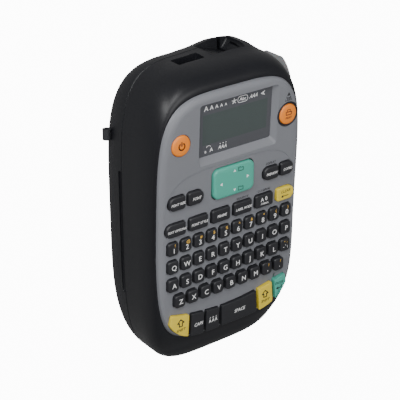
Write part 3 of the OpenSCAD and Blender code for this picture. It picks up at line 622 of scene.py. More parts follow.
def raise_plates(obj, height, insets):
    """Pull flat faces up by height in all; the last part is insets of (thickness, depth) in mm."""
    rim = sum(depth for _, depth in insets)
    activate(obj)
    bpy.ops.object.mode_set(mode="EDIT")
    bpy.ops.mesh.select_all(action="SELECT")
    bpy.ops.mesh.extrude_region_move(TRANSFORM_OT_translate={"value": (0, 0, (height - rim) * MM)})
    for thickness, depth in insets:
        bpy.ops.mesh.inset(thickness=thickness * MM, depth=depth * MM, use_individual=True)
    bpy.ops.object.mode_set(mode="OBJECT")
    in_edit(obj, outward)
    return obj


def circle(cx, cy, r, count=48):
    return [(cx + r * math.cos(2 * math.pi * k / count), cy + r * math.sin(2 * math.pi * k / count))
            for k in range(count)]


feet_low, feet_high = box_mm("rubber_feet")
FOOT_R = 4.5
feet = [plate("foot", circle(x, y, FOOT_R), 0)
        for x in (feet_low.x + FOOT_R, feet_high.x - FOOT_R)
        for y in (feet_low.y + FOOT_R, feet_high.y - FOOT_R)]
feet = raise_plates(join("feet_pads", feet), feet_high.z, [(0.15, 0.2), (0.3, 0.15), (0.5, 0.08)])
feet.data.transform(Matrix.Translation((0, 0, feet_high.z * MM)) @ Matrix.Diagonal((1, 1, -1, 1)))
in_edit(feet, outward)
finish_piece(feet, FOOT_RUBBER, "cover", "foot_rubber", "rubber_feet")
print("feet from", feet_low.z, "to", feet_high.z, "mm")


# %% [markdown]
# ## The grey panel
# The panel is a thin tray lid whose edge rolls down to the case. It is drawn as rings again, from
# its middle out over the rolled edge, and back underneath at its own thickness.

# %% Panel shell
PANEL_T = 2.0


def panel_rings():
    gap = PANEL_B - PANEL_A
    flat_a = PANEL_A - EDGE_W

    def level(a, z):
        return ring(a, a + gap, PANEL_DY, z, 1)

    middle = 0.9
    top = [level(middle + (flat_a - middle) * k / 12, FACE) for k in range(13)]
    edge = []
    for k in range(1, 9):
        u = k / 8
        fall = EDGE_FALL * (1 - math.sqrt(1 - u * u))
        edge.append(level(flat_a + EDGE_W * u, FACE - fall))
    under = [level(PANEL_A, FACE - SEAT), level(PANEL_A - 1.6, FACE - SEAT),
             level(PANEL_A - 2.2, FACE - SEAT + 1), level(PANEL_A - 5.5, FACE - PANEL_T)]
    back = [level(middle + (flat_a - 2 - middle) * k / 6, FACE - PANEL_T) for k in range(6, -1, -1)]
    return top + edge + under + back


panel = ring_skin("face_panel_shell", panel_rings(), cap=True)
print("panel:", len(panel.data.polygons), "faces")


# %% [markdown]
# The keyboard lies in a very shallow depression. Its cutter is a stack of rings that follow the
# rise of the face, so the floor of the depression is parallel to the panel.

# %% Keyboard depression
DIP = 0.28
DIP_A = 50.5
DIP_B = 59
DIP_AT_Y = -21


def dip_rings():
    return [[Vector((x, y, FACE + z + lift(y))) * MM
             for x, y in superellipse(DIP_A + grow, DIP_B + grow, DIP_AT_Y)]
            for z, grow in ((-DIP, -0.6), (0.1, 0), (4, 0))]


boolean(panel, ring_skin("dip_cutter", dip_rings(), cap=True))
print("depression:", DIP, "mm deep")


# %% [markdown]
# ## The screen window
# The glass lies at the bottom of a pocket with sloping sides: they are steep at the left and at the
# top, and broad at the right and below. Its cutter is a skin over three rounded outlines, of which
# the top one is larger. The panel first gets a block of plastic, the tray, for the glass to lie in.

# %% Screen pocket
GLASS_AT = (2.6, 61.0)
GLASS = (54.0, 33.5)
GLASS_T = 1.2
GLASS_DROP = 2.6
TRAY_WALL = 1.2
BEVEL = {"left": 0.4, "right": 3.2, "top": 0.4, "low": 4.4}
TILT = math.atan(RISE)


def on_face(x, y, up=0.0):
    return (Matrix.Translation(Vector((x, y, FACE + lift(y))) * MM) @ Matrix.Rotation(TILT, 4, "X")
            @ Matrix.Translation((0, 0, up * MM)))


def glass_outline(r=1.5, left=0.0, right=0.0, top=0.0, low=0.0):
    x0, x1 = -GLASS[0] / 2 - left, GLASS[0] / 2 + right
    y0, y1 = -GLASS[1] / 2 - low, GLASS[1] / 2 + top
    return rounded(x1 - x0, y1 - y0, r, (x0 + x1) / 2, (y0 + y1) / 2)


def rounded(w, h, r, cx=0.0, cy=0.0, right_r=None, steps=6):
    """A rectangle with round corners; the right-hand pair may have another radius."""
    right_r = r if right_r is None else right_r
    corners = ((w / 2 - right_r, h / 2 - right_r, right_r, 0), (r - w / 2, h / 2 - r, r, 90),
               (r - w / 2, r - h / 2, r, 180), (w / 2 - right_r, right_r - h / 2, right_r, 270))
    return [(cx + x + q * math.cos(math.radians(a + 90 * k / steps)),
             cy + y + q * math.sin(math.radians(a + 90 * k / steps)))
            for x, y, q, a in corners for k in range(steps + 1)]


def pocket_cutter():
    over = 0.6
    k = (GLASS_DROP + over) / GLASS_DROP
    levels = [(-GLASS_DROP - GLASS_T - 3, glass_outline()), (-GLASS_DROP, glass_outline()),
              (over, glass_outline(2.2, *(k * BEVEL[side] for side in ("left", "right", "top", "low"))))]
    rings = [[Vector((x, y, z)) * MM for x, y in points] for z, points in levels]
    cutter = ring_skin("pocket_cutter", rings, cap=True)
    cutter.data.transform(on_face(*GLASS_AT))
    return cutter


tray_x, tray_y = GLASS[0] / 2 + TRAY_WALL, GLASS[1] / 2 + TRAY_WALL
tray = bevelled_box("tray", (-tray_x, -tray_y, -GLASS_DROP - GLASS_T), (tray_x, tray_y, -0.9))
tray.data.transform(on_face(*GLASS_AT))
boolean(panel, tray, "UNION")
boolean(panel, pocket_cutter())
print("pocket cut:", len(panel.data.polygons), "faces")


# %% [markdown]
# ## Key outlines
# Every key shape is a short list of points. Letter keys are rounded rectangles, the outer function
# keys have one nearly half-round end, and the bottom row follows the curve of the panel's end.
# The places and widths below are in millimetres, and the two rows of function keys are listed from
# left to right as centre x, centre y, width and the side with the round end.

# %% Key outlines
PITCH = (9.5, 12.1)
LETTER = (7.6, 8.6)
KEY_GAP = 0.35
ROWS = {"digits": ("digit_keys", 10, -4.5, DIGITS_Y),
        "upper_letters": ("upper_letter_keys", 10, -4.5, DIGITS_Y - PITCH[1]),
        "middle_letters": ("middle_letter_keys", 10, -4.5, DIGITS_Y - 2 * PITCH[1]),
        "lower_letters": ("lower_letter_keys", 9, -4.0, DIGITS_Y - 3 * PITCH[1])}
FUNCTION = {"size": (-40.4, 21.9, 11.6, "left"), "font": (-27.1, 21.9, 11.1, "right"),
            "preview": (28.9, 21.9, 11.3, "left"), "copies": (41.2, 21.9, 10, "right"),
            "text": (-41, 4.8, 14.1, "left"), "style": (-24.6, 4.8, 13.6, ""),
            "frame": (-8.2, 4.8, 13.6, ""), "mode": (8.2, 4.8, 13.6, ""),
            "symbol": (24.6, 4.8, 13.6, ""), "clear": (41, 4.8, 13.2, "right")}
NAV_AT = (0.6, 25.4)
NAV_SIZE = (30, 19.2)
NAV_GAP = 0.65
ROUND = {"power": (-37.7, 57.2), "print": (40.4, 57.2)}
ROUND_R = 6.4
BOTTOM = {"shift_left": 0, "caps": 1, "accent": 2, "space": 3, "shift_right": 4, "enter": 5}
CUTS = (-44.6, -29.6, -18.2, -6.5, 22.4, 34.8, 45)
CUT_GAP = 0.95
LEAN = 1.03


def row_places(count, first, y):
    return [((first + k) * PITCH[0], y) for k in range(count)]


def letter_outline(x, y, grow=0.0):
    return rounded(LETTER[0] + 2 * grow, LETTER[1] + 2 * grow, 2 + grow, x, y, steps=5)


def function_outline(name, grow=0.0):
    x, y, w, end = FUNCTION[name]
    full, small = 0.46 * LETTER[1] + grow, 1.6 + grow
    left, right = full if end == "left" else small, full if end == "right" else small
    return rounded(w + 2 * grow, LETTER[1] + 2 * grow, left, x, y, right, 7)


def bottom_edge(x):
    across = min(1, abs(x) / (PANEL_A - 1)) ** POWER
    return PANEL_DY - (PANEL_B - 2.3) * max(0.01, 1 - across) ** (1 / POWER)


def bottom_head(x):
    return -59.5 + 0.0034 * x * x


def bottom_outline(i, grow=0.0, steps=8):
    x0, x1 = CUTS[i] + CUT_GAP - grow, CUTS[i + 1] - CUT_GAP + grow
    xs = [x0 + (x1 - x0) * k / steps for k in range(steps + 1)]
    head = [(x, bottom_head(x) + grow) for x in xs]
    foot = [(x * LEAN, bottom_edge(x * LEAN) - grow) for x in reversed(xs)]
    return (head + foot)[::-1]


def clipped(points, r=0.7):
    """Round the sharp corners of a polygon a little."""
    out = []
    count = len(points)
    for i in range(count):
        before, here, after = (Vector(points[(i + k) % count]) for k in (-1, 0, 1))
        a, b = before - here, after - here
        if a.length < 1e-6 or b.length < 1e-6 or a.angle(b) > math.radians(140):
            out.append(tuple(here))
            continue
        p, q = here + a.normalized() * min(r, a.length / 2), here + b.normalized() * min(r, b.length / 2)
        out += [tuple(p), tuple((p + q) / 4 + here / 2), tuple(q)]
    return out


print(len(ROWS), "letter rows,", len(FUNCTION), "function keys,", len(BOTTOM), "bottom keys")


# %% [markdown]
# The holes in the panel are the same outlines made a little larger. All of the hole solids are
# joined into one mesh first, so a single Boolean cuts them in one pass.

# %% Holes for the keys
def hole_outlines():
    out = [letter_outline(x, y, KEY_GAP) for node, count, first, row in ROWS.values()
           for x, y in row_places(count, first, row)]
    out += [function_outline(name, KEY_GAP) for name in FUNCTION]
    out += [clipped(bottom_outline(i, KEY_GAP), 1.0) for i in BOTTOM.values()]
    out += [circle(x, y, ROUND_R + KEY_GAP) for x, y in ROUND.values()]
    out.append(rounded(NAV_SIZE[0] + 2 * NAV_GAP, NAV_SIZE[1] + 2 * NAV_GAP, 4.3, *NAV_AT))
    return out


HOLE_REACH = 12
holes = join("hole_cutters", [plate("hole", points, FACE - HOLE_REACH) for points in hole_outlines()])
raise_plates(holes, 2 * HOLE_REACH, [])
boolean(panel, holes)
finish_piece(panel, PANEL_GREY, "case", "panel_grey", "face_panel", angle=25)
print("panel with holes:", len(panel.data.polygons), "faces")


# %% [markdown]
# ## Key caps
# A cap is pulled up from its flat outline, and a few insets that climb less and less round its rim.
# Soft rubber keys have a wide, gentle rim, and the printed top stays flat.

# %% Letter and function keys
CAP_LOW = 53.2
SOFT_RIM = [(0.04, 0.2), (0.1, 0.18), (0.16, 0.14), (0.24, 0.1), (0.34, 0.06), (0.5, 0.03)]


def key_top(y, drop=0.0):
    return FACE + KEY_PROUD + lift(y) - drop


def caps(name, outlines, top, low=CAP_LOW, rim=SOFT_RIM):
    obj = join(name, [plate(name, points, low) for points in outlines])
    return raise_plates(obj, top - low, rim)


for body, (node, count, first, y) in ROWS.items():
    row = caps(body + "_caps", [letter_outline(*p) for p in row_places(count, first, y)], key_top(y))
    finish_piece(row, KEY_BLACK, body, "key_black", node, angle=50)
for name in FUNCTION:
    cap = caps(name + "_cap", [function_outline(name)], key_top(FUNCTION[name][1]))
    black = name != "clear"
    finish_piece(cap, KEY_BLACK if black else KEY_YELLOW, name + "_key",
                 "key_black" if black else "key_yellow", name + "_key", angle=50)
print("caps so far:", len(made_pieces))


# %% [markdown]
# The bottom row stands a little lower, and its caps have a tighter rim and nearly square corners.

# %% Bottom row
HARD_RIM = [(0.04, 0.12), (0.1, 0.1), (0.18, 0.06), (0.3, 0.03)]
BOTTOM_DROP = 0.7
BOTTOM_LOW = 53.4
BOTTOM_FINISH = {"shift_left": (KEY_YELLOW, "key_yellow"), "shift_right": (KEY_YELLOW, "key_yellow"),
                 "enter": (KEY_TEAL, "key_teal")}


def bottom_mid(i):
    x = (CUTS[i] + CUTS[i + 1]) / 2
    return x, (bottom_head(x) + bottom_edge(x)) / 2


for name, i in BOTTOM.items():
    top = key_top(bottom_mid(i)[1], BOTTOM_DROP)
    cap = caps(name + "_cap", [clipped(bottom_outline(i))], top, BOTTOM_LOW, HARD_RIM)
    finish, slot = BOTTOM_FINISH.get(name, (KEY_BLACK, "key_black"))
    finish_piece(cap, finish, name + "_key", slot, name + "_key", angle=50)
print("bottom row done")


# %% [markdown]
# The power and print keys are round with a generous dome. The navigation pad is one wide cushion
# of rubber: its rim rolls over further than a letter key's, and its top is flat.

# %% Round keys and navigation pad
ROUND_DROP = 1
DOME = [(0.06, 0.3), (0.16, 0.26), (0.3, 0.22), (0.45, 0.16), (0.7, 0.12), (1.1, 0.08), (1.6, 0.04)]
PAD_RIM = [(0.06, 0.4), (0.16, 0.34), (0.28, 0.26), (0.4, 0.18), (0.55, 0.1), (0.8, 0.05), (1.0, 0.02)]

for name, (x, y) in ROUND.items():
    cap = caps(name + "_cap", [circle(x, y, ROUND_R)], key_top(y, ROUND_DROP), rim=DOME)
    finish_piece(cap, KEY_ORANGE, name + "_key", "key_orange", name + "_key", angle=60)
PAD_TOP = key_top(NAV_AT[1])
pad = caps("nav_cap", [rounded(*NAV_SIZE, 4, *NAV_AT, steps=8)], PAD_TOP, rim=PAD_RIM)
finish_piece(pad, KEY_TEAL, "nav_pad", "key_teal", "nav_pad", angle=60)
print("pad top at", round(PAD_TOP, 2), "mm")


# %% [markdown]
# ## The window and what is printed on it
# The window is one glossy slab. Its border is a dark smoky grey, and the screen is grey-green with
# faint lines between its dots. A mask on the Object coordinates gives each zone its colour.

# %% Window glass
SCREEN_X = (-20.6, 26.4)
SCREEN_Y = (51.4, 70.2)
DOT = 0.36 * MM


def window_finish():
    f = Finish("window_glass", (0.05, 0.052, 0.06), 0.12, Coat_Weight=0.6, Coat_Roughness=0.04)
    x, y = f.axis("X"), f.axis("Y")
    inside = (x.above(SCREEN_X[0] * MM) * x.below(SCREEN_X[1] * MM)
              * y.above(SCREEN_Y[0] * MM) * y.below(SCREEN_Y[1] * MM))
    rows = (y * (1 / DOT)).math("FRACT").below(0.12)
    cols = (x * (1 / DOT)).math("FRACT").below(0.12)
    gaps = rows.math("MAXIMUM", cols) * inside
    screen = f.blend(gaps, (0.045, 0.058, 0.057), (0.04, 0.051, 0.05))
    tint = f.blend(f.noise(30, 2), (0.052, 0.054, 0.062), (0.06, 0.062, 0.07))
    f.feed("Base Color", f.blend(inside, tint, screen))
    f.feed("Roughness", f.noise(120) * 0.06 + 0.1)
    return f.mat


WINDOW = window_finish()
glass = plate("window_pane", glass_outline(1.4), -GLASS_DROP - GLASS_T)
raise_plates(glass, GLASS_T, [(0.12, 0.06), (0.1, 0.02)])
glass.data.transform(on_face(*GLASS_AT))
finish_piece(glass, WINDOW, "case", "window", "lcd_window")
print("window done")


# %% [markdown]
# ## Printed legends
# A legend is a text object with a very small extrusion, made into a mesh before it is put in place.
# All legends of one colour on one key body are joined, so they move with their keys.

# %% Text and line helpers
INK = 0.03
CAPITAL = 0.72
SLANT = 0.25


def word(text, x, y, size, slant=0.0, turn=0.0, bold=0.0, wide=1.0):
    """A centred word; size is the height of a capital in mm."""
    deselect()
    bpy.ops.object.text_add()
    obj = bpy.context.object
    obj.data.body = text
    obj.data.size = size / CAPITAL
    obj.data.align_x = "CENTER"
    obj.data.align_y = "CENTER"
    obj.data.shear = slant
    obj.data.offset = bold
    obj.data.extrude = INK / 2
    obj.data.resolution_u = 3
    bpy.ops.object.convert(target="MESH")
    obj = bpy.context.object
    spin = Matrix.Rotation(math.radians(turn), 4, "Z")
    obj.data.transform(Matrix.Translation((x, y, 0)) @ spin @ Matrix.Diagonal((wide, 1, 1, 1)))
    return obj


def shape(points):
    """A flat filled polygon with the thickness of the ink."""
    obj = plate("shape", points, 0)
    obj.data.transform(Matrix.Scale(1 / MM, 4))
    activate(obj)
    bpy.ops.object.mode_set(mode="EDIT")
    bpy.ops.mesh.select_all(action="SELECT")
    bpy.ops.mesh.extrude_region_move(TRANSFORM_OT_translate={"value": (0, 0, INK)})
    bpy.ops.object.mode_set(mode="OBJECT")
    return obj


def stroke(points, width, closed=False):
    """A line of even width along points, as one polygon for each stretch."""
    ends = points + points[:1] if closed else points
    out = []
    for (x0, y0), (x1, y1) in zip(ends, ends[1:]):
        d = Vector((x1 - x0, y1 - y0)).normalized() * width / 2
        n = Vector((-d.y, d.x))
        a, b = Vector((x0, y0)) - d * 0.5, Vector((x1, y1)) + d * 0.5
        out.append(shape([tuple(a - n), tuple(b - n), tuple(b + n), tuple(a + n)]))
    return out


def arc(cx, cy, r, a0, a1, steps=16):
    return [(cx + r * math.cos(math.radians(a0 + (a1 - a0) * k / steps)),
             cy + r * math.sin(math.radians(a0 + (a1 - a0) * k / steps))) for k in range(steps + 1)]


def triangle(x, y, r, turn):
    angles = [math.radians(turn + k * 120) for k in range(3)]
    return shape([(x + r * math.cos(a), y + r * math.sin(a)) for a in angles])


def printed(name, parts, finish, body, slot, place):
    """Join printed shapes, drawn in mm on a flat plane, and put them on a surface."""
    obj = join(name, parts)
    obj.data.transform(place @ Matrix.Scale(MM, 4))
    return finish_piece(obj, finish, body, slot)


def flat_at(z):
    return Matrix.Translation((0, 0, (z + 0.01) * MM))


print("printing helpers ready")


# %% [markdown]
# Letter keys carry one white character, set a little low and to the right. The digits also have an
# amber second character above, and so have the punctuation keys. The last key of the middle row has
# three small white marks and two amber ones.

# %% Letter legends
LEGENDS = {"digits": "1234567890", "upper_letters": "QWERTYUIOP", "middle_letters": "ASDFGHJKL",
           "lower_letters": "ZXCVBNM,."}
AMBER = {"digits": "!@#$%^&*()", "lower_letters": "       ?/"}
LETTER_SIZE = 3.3
AMBER_SIZE = 1.9
for body, (node, count, first, y) in ROWS.items():
    places = row_places(count, first, y)
    drop = -1.3 if body == "digits" else -0.5
    last_x = places[-1][0]
    white = [word(c, x + 0.35, y + drop + 0.1, LETTER_SIZE, bold=0.004)
             for c, (x, _) in zip(LEGENDS[body], places)]
    if body == "middle_letters":
        white += [word(c, last_x + dx, y - 1.1, 2.2) for c, dx in (("-", -1.4), ("'", 0.2), (";", 1.6))]
    printed(body + "_white_print", white, INK_WHITE, body, "key_black", flat_at(key_top(y)))
    marks = [word(c, x + 1.1, y + 2.2, AMBER_SIZE, bold=0.02)
             for c, (x, _) in zip(AMBER.get(body, ""), places) if c != " "]
    if body == "middle_letters":
        marks = [word(c, last_x + dx, y + 1.7, AMBER_SIZE) for c, dx in (('"', -0.6), (":", 1.3))]
    if marks:
        printed(body + "_amber_print", marks, INK_AMBER, body, "key_black", flat_at(key_top(y)))
print("letter legends done")


# %% [markdown]
# Function keys carry short words in a slanted face. One key has two signs over its word, and the
# accent key in the bottom row has three letters with an acute, a circumflex and a ring.

# %% Function legends
WORDS = {"size": ("FONT SIZE", 1.6), "font": ("FONT", 1.8), "preview": ("PREVIEW", 1.65),
         "copies": ("COPIES", 1.65), "text": ("TEXT OPTIONS", 1.5), "style": ("FONT STYLE", 1.65),
         "frame": ("FRAME", 1.8), "mode": ("LABEL MODE", 1.6), "caps": ("CAPS", 2.2),
         "space": ("SPACE", 2.3)}
for name, (text, size) in WORDS.items():
    if name in FUNCTION:
        x, y = FUNCTION[name][:2]
        z = key_top(y)
    else:
        x, y = bottom_mid(BOTTOM[name])
        z = key_top(y, BOTTOM_DROP)
    parts = [word(text, x + 0.3, y - 0.4, size, slant=SLANT, bold=0.01, wide=0.92)]
    printed(name + "_print", parts, INK_WHITE, name + "_key", "key_black", flat_at(z))
x, y = FUNCTION["symbol"][:2]
parts = [word("A", x - 1.8, y + 0.7, 2.6, bold=0.02), word("0", x + 1.2, y + 1.0, 2.6, bold=0.02),
         word("SYMBOL", x, y - 2.0, 1.2, SLANT)]
printed("symbol_print", parts, INK_WHITE, "symbol_key", "key_black", flat_at(key_top(y)))
x, y = bottom_mid(BOTTOM["accent"])
accents = [word("A", x + dx, y - 0.6, 2.4, bold=0.02, wide=0.85) for dx in (-2.3, 0, 2.3)]
accents += stroke([(x - 2.4, y + 1.3), (x - 1.7, y + 2.0)], 0.3)
accents += stroke([(x - 0.5, y + 1.4), (x, y + 1.9), (x + 0.5, y + 1.4)], 0.3)
accents += stroke(arc(x + 2.3, y + 1.6, 0.4, 0, 360, 10), 0.25)
printed("accent_print", accents, INK_WHITE, "accent_key", "key_black", flat_at(key_top(y, BOTTOM_DROP)))
print("function legends done")


# %% [markdown]
# The coloured keys have dark legends: block arrows on the two shift keys, a return arrow on enter,
# a back arrow on clear, the power sign, and a small printer sign.

# %% Dark legends
def block_arrow(x, y, s):
    right = [(0, 1.5), (1.35, 0.15), (0.62, 0.15), (0.62, -1.1)]
    outline = right + [(-px, py) for px, py in right[:0:-1]]
    return stroke([(x + px * s, y + py * s) for px, py in outline], 0.75, closed=True)


for name in ("shift_left", "shift_right"):
    x, y = bottom_mid(BOTTOM[name])
    parts = block_arrow(x, y + 1.6, 1.8) + [word("SHIFT", x, y - 3.0, 1.9, SLANT, bold=0.05)]
    printed(name + "_print", parts, INK_DARK, name + "_key", "key_yellow", flat_at(key_top(y, BOTTOM_DROP)))

x, y = bottom_mid(BOTTOM["enter"])
parts = [word("ENTER", x - 0.4, y + 2.1, 1.8, SLANT, bold=0.04, wide=0.9)]
parts += stroke([(x + 1.6, y + 0.2), (x + 1.6, y - 1.4), (x - 1.2, y - 1.4)], 0.6)
parts += [triangle(x - 1.7, y - 1.4, 1.25, 180)]
printed("enter_print", parts, INK_DARK, "enter_key", "key_teal", flat_at(key_top(y, BOTTOM_DROP)))

x, y = FUNCTION["clear"][:2]
parts = [word("CLEAR", x, y + 1.4, 1.8, SLANT, bold=0.03), triangle(x - 2.4, y - 1.6, 1.2, 180)]
parts += stroke([(x - 1.9, y - 1.5), (x + 2.2, y - 1.5)], 0.5)
printed("clear_print", parts, INK_DARK, "clear_key", "key_yellow", flat_at(key_top(y)))

x, y = ROUND["power"]
parts = stroke(arc(x, y - 0.2, 2.0, 125, 415, 24), 0.75) + stroke([(x, y + 2.6), (x, y + 0.2)], 0.75)
printed("power_print", parts, INK_DARK, "power_key", "key_orange", flat_at(key_top(y, ROUND_DROP)))

x, y = ROUND["print"]
parts = stroke([(x - 2, y - 0.2), (x - 2, y + 1.6), (x + 2, y + 1.6), (x + 2, y - 0.2)], 0.45, closed=True)
parts += stroke([(x - 1.1, y + 1.7), (x - 1.1, y + 3.0), (x + 1.1, y + 3.0), (x + 1.1, y + 1.7)], 0.4)
parts += [word("PRINT", x, y - 2.2, 1.4, SLANT, bold=0.02, wide=0.9)]
printed("print_print", parts, INK_DARK, "print_key", "key_orange", flat_at(key_top(y, ROUND_DROP)))
print("dark legends done")


# %% [markdown]
# The pad has four small white arrows, one for each way that it tilts, and two dark folder signs.
# All of them lie on its flat top.

# %% Pad legends
x, y = NAV_AT
arrows = [triangle(x, y + 6.0, 1.05, 90), triangle(x, y - 6.0, 1.05, 270),
          triangle(x - 9.6, y - 0.2, 1.2, 180), triangle(x + 9.6, y + 0.2, 1.2, 0)]
printed("nav_white_print", arrows, INK_WHITE, "nav_pad", "key_teal", flat_at(PAD_TOP))
folders = []
for fy in (6.2, -6.2):
    box_points = [(2.9, -1.1), (6.3, -1.1), (6.3, 0.9), (4.6, 0.9), (4.2, 1.3), (2.9, 1.3)]
    folders += stroke([(x + px, y + fy + py) for px, py in box_points], 0.4, closed=True)
printed("nav_dark_print", folders, INK_DARK, "nav_pad", "key_teal", flat_at(PAD_TOP))
print("pad legends done")


# %% [markdown]
# Small dark captions are printed on the panel above a few keys. A ray from above finds the height
# of the panel there, and each caption is tilted with the slope of the face.

# %% Panel captions
def on_panel(x, y, up=0.02):
    """The panel's own surface under a point, found by a ray from above."""
    place = panel.ray_cast(Vector((x, y, FACE + 9)) * MM, Vector((0, 0, -1)))[1]
    return Matrix.Translation(place) @ Matrix.Rotation(TILT, 4, "X") @ Matrix.Translation((0, 0, up * MM))


def caption(name, text, x, y, size=1.5):
    parts = [word(text, 0, 0, size, SLANT, bold=0.03)]
    return printed(name, parts, INK_DARK, "case", "panel_grey", on_panel(x, y))


bpy.context.view_layer.update()
caption("preview_caption", "DISPLAY", 29.5, 27.9)
caption("symbol_caption", "1 2 3 SERIAL", 24.6, 10.9)
caption("mode_caption", "SEQUENCE", 8.6, 10.7, 1.3)
parts = [triangle(0, 2.3, 1.5, 90), word("LABEL", 0, -1.2, 1.5, SLANT, bold=0.03)]
parts += stroke([(-1.4, 1.0), (-1.4, 0.1), (1.4, 0.1), (1.4, 1.0)], 0.5)
x, y = ROUND["print"]
printed("print_caption", parts, INK_DARK, "case", "panel_grey", on_panel(x, y + 10.2))
print("captions done")


# %% [markdown]
# The print key stands in a dark ring. It is a flat annulus with a rounded edge that is laid into
# the panel round the key's hole.

# %% Dark ring round the print key
def collar(name, x, y, inner_r, outer_r, up):
    levels = [(inner_r, -0.6), (inner_r, up * 0.7), (inner_r + 0.15, up), (outer_r - 0.2, up),
              (outer_r, up * 0.5), (outer_r, -0.6)]
    rings = [[Vector((px, py, z)) * MM for px, py in circle(0, 0, r, 64)] for r, z in levels]
    obj = ring_skin(name, rings, loop=True)
    obj.data.transform(on_face(x, y))
    return obj


finish_piece(collar("print_key_collar", *ROUND["print"], ROUND_R + 0.36, ROUND_R + 1.5, 0.3), KEY_BLACK,
             "case", "key_black")
print("collar done")


# %% [markdown]
# White signs are printed on the window: shrinking letters for the text size, a star, a boxed word,
# slanted letters and a turned one above the screen, and more letters with marks below it.

# %% Window signs
SIGNS_ABOVE = 13.0
SIGNS_BELOW = -13.2


def window_signs():
    y, low = SIGNS_ABOVE, SIGNS_BELOW
    parts = [word("A", -21.2 + 4.0 * k - 0.12 * k * k, y - 0.1 * k, 3.1 - 0.36 * k, bold=0.02)
             for k in range(5)]
    for k in range(5):
        a = math.radians(90 + 72 * k)
        parts += stroke([(-1.2, y), (-1.2 + 1.7 * math.cos(a), y + 1.7 * math.sin(a))], 0.4)
    parts += [word("Abc", 5.1, y, 2.2, 0.1, bold=0.02)]
    parts += stroke(rounded(7.2, 3.8, 1.5, 5.1, y, steps=4), 0.3, closed=True)
    parts += [word("AAA", 12.8, y, 2.5, 0.5, bold=0.02, wide=0.85)]
    parts += [word("A", 20.2, y, 3.0, turn=90, bold=0.02)]
    parts += [word("a", -20.8, low - 0.6, 2.2, bold=0.02), word("A", -16.6, low - 0.4, 2.5, bold=0.02)]
    parts += stroke(arc(-18.6, low + 0.9, 1.8, 30, 150, 8), 0.28)
    parts += [word("A", -10.6 + 2.1 * k, low - 0.5, 2.4, 0.2, bold=0.02, wide=0.85) for k in range(3)]
    parts += [shape(circle(-10.2 + 2.1 * k, low + 1.8, 0.32, 10)) for k in range(3)]
    return parts


SIGN_GAP = 0.005
signs_place = on_face(*GLASS_AT, up=SIGN_GAP - GLASS_DROP)
printed("window_signs", window_signs(), INK_WHITE, "case", "window", signs_place)
print("window signs done")


# %% [markdown]
# ## What the CAD already shows well
# The parts inside keep their CAD shape: gears, shafts, springs, the motor, the cells and the board.
# Each takes a finish by the material slot that the record gives it.

# %% Finishes for the CAD nodes
LCD_GREY = moulded("lcd_module_grey", (0.12, 0.15, 0.14), 0.4)
SLOT_FINISH = {"case_black": CASE_BLACK, "inner_black": INNER_BLACK, "panel_grey": PANEL_GREY,
               "window": WINDOW, "lcd": LCD_GREY, "foot_rubber": FOOT_RUBBER, "steel": STEEL,
               "cell": CELL, "board": BOARD,
               "mat_rubber": MAT_RUBBER, "cartridge": CARTRIDGE, "label_film": LABEL_FILM, "ribbon": RIBBON,
               "head_ceramic": HEAD_CERAMIC, "platen_rubber": PLATEN_RUBBER, "gear_white": GEAR_WHITE,
               "motor_can": MOTOR_CAN, "brass": BRASS, "button_grey": BUTTON_GREY, "key_black": KEY_BLACK,
               "key_teal": KEY_TEAL, "key_yellow": KEY_YELLOW, "key_orange": KEY_ORANGE}
for part in frame["record"]["subparts"]:
    node = nodes[part["node"]]
    node.data.materials.clear()
    node.data.materials.append(SLOT_FINISH[part["material_slot"]])


# %% [markdown]
# ## Floor, light and camera
# The floor is a pale sheet that only the camera sees glowing, so it looks nearly white but throws
# no light up at the case. Two soft lights stand on the left, whose long reflections run down the
# roll of the case. A third hangs overhead, and a dim even surround fills the shadows.

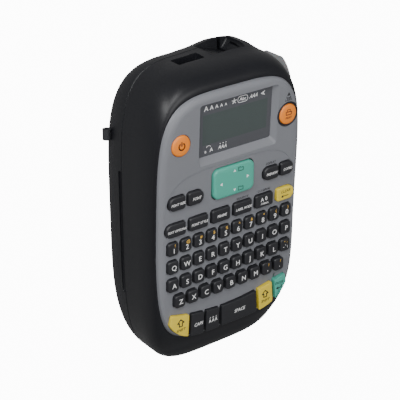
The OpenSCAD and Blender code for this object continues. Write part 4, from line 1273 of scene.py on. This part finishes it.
# %% Floor and world
deselect()
bpy.ops.mesh.primitive_plane_add(size=12)
floor = bpy.context.object
floor.name = "floor"
FLOOR_GREY = (0.3, 0.3, 0.3)
floor_finish = Finish("pale_floor", FLOOR_GREY, 0.9, Specular_IOR_Level=0.0)
cloudy = floor_finish.blend(floor_finish.noise(3, 2), FLOOR_GREY, (0.33, 0.33, 0.33))
floor_finish.feed("Base Color", cloudy)
floor_finish.shader.inputs["Emission Strength"].default_value = 12.0
floor_finish.feed("Emission Color", floor_finish.node("ShaderNodeLightPath"))
floor.data.materials.append(floor_finish.mat)

world = bpy.data.worlds.new("studio")
scene.world = world
world.use_nodes = True
background = world.node_tree.nodes["Background"]
background.inputs["Color"].default_value = (1, 1, 1, 1)
background.inputs["Strength"].default_value = 0.3
print("floor and world ready")

# %% [markdown]
# Each light is a rectangle that is turned to face one point near the middle of the keyboard side,
# and the camera looks at the same point.

# %% Lights
TARGET = Vector((-10.685, 8.571, 42.907)) * MM


def soft_light(name, place, size, power, aim=TARGET):
    data = bpy.data.lights.new(name, "AREA")
    data.shape = "RECTANGLE"
    data.size, data.size_y = size
    data.energy = power
    obj = bpy.data.objects.new(name, data)
    scene.collection.objects.link(obj)
    obj.location = place
    obj.rotation_mode = "QUATERNION"
    obj.rotation_quaternion = (aim - Vector(place)).to_track_quat("-Z", "Y")
    return obj


soft_light("tall_left", (-0.75, 0.6, 0.35), (0.22, 0.9), 9)
soft_light("upper_left", (-0.35, 0.95, 0.75), (0.45, 0.45), 7)
soft_light("overhead", (0.1, 0.3, 1.3), (0.8, 0.8), 9.5)

# %% [markdown]
# A long lens from above the left-hand top corner shows the keys, the left side and the label end.
# The camera's up direction is made from +Y, so the device stands upright in the picture.

# %% Camera
CAMERA_AT = Vector((-434.184, 352.046, 607.795)) * MM
LENS = 118.6
ROLL_ANGLE = math.radians(-0.217)
camera_data = bpy.data.cameras.new("camera")
camera_data.sensor_width = 36
camera_data.lens = LENS
camera_data.clip_start, camera_data.clip_end = 0.05, 20
camera = bpy.data.objects.new("camera", camera_data)
scene.collection.objects.link(camera)
camera.location = CAMERA_AT
back = (camera.location - TARGET).normalized()
right = Vector((0, 1, 0)).cross(back).normalized()
upright = Matrix((right, back.cross(right), back)).transposed()
camera.rotation_mode = "QUATERNION"
camera.rotation_quaternion = (upright @ Matrix.Rotation(ROLL_ANGLE, 3, "Z")).to_quaternion()
scene.camera = camera
print("camera", [round(c, 3) for c in camera.location])
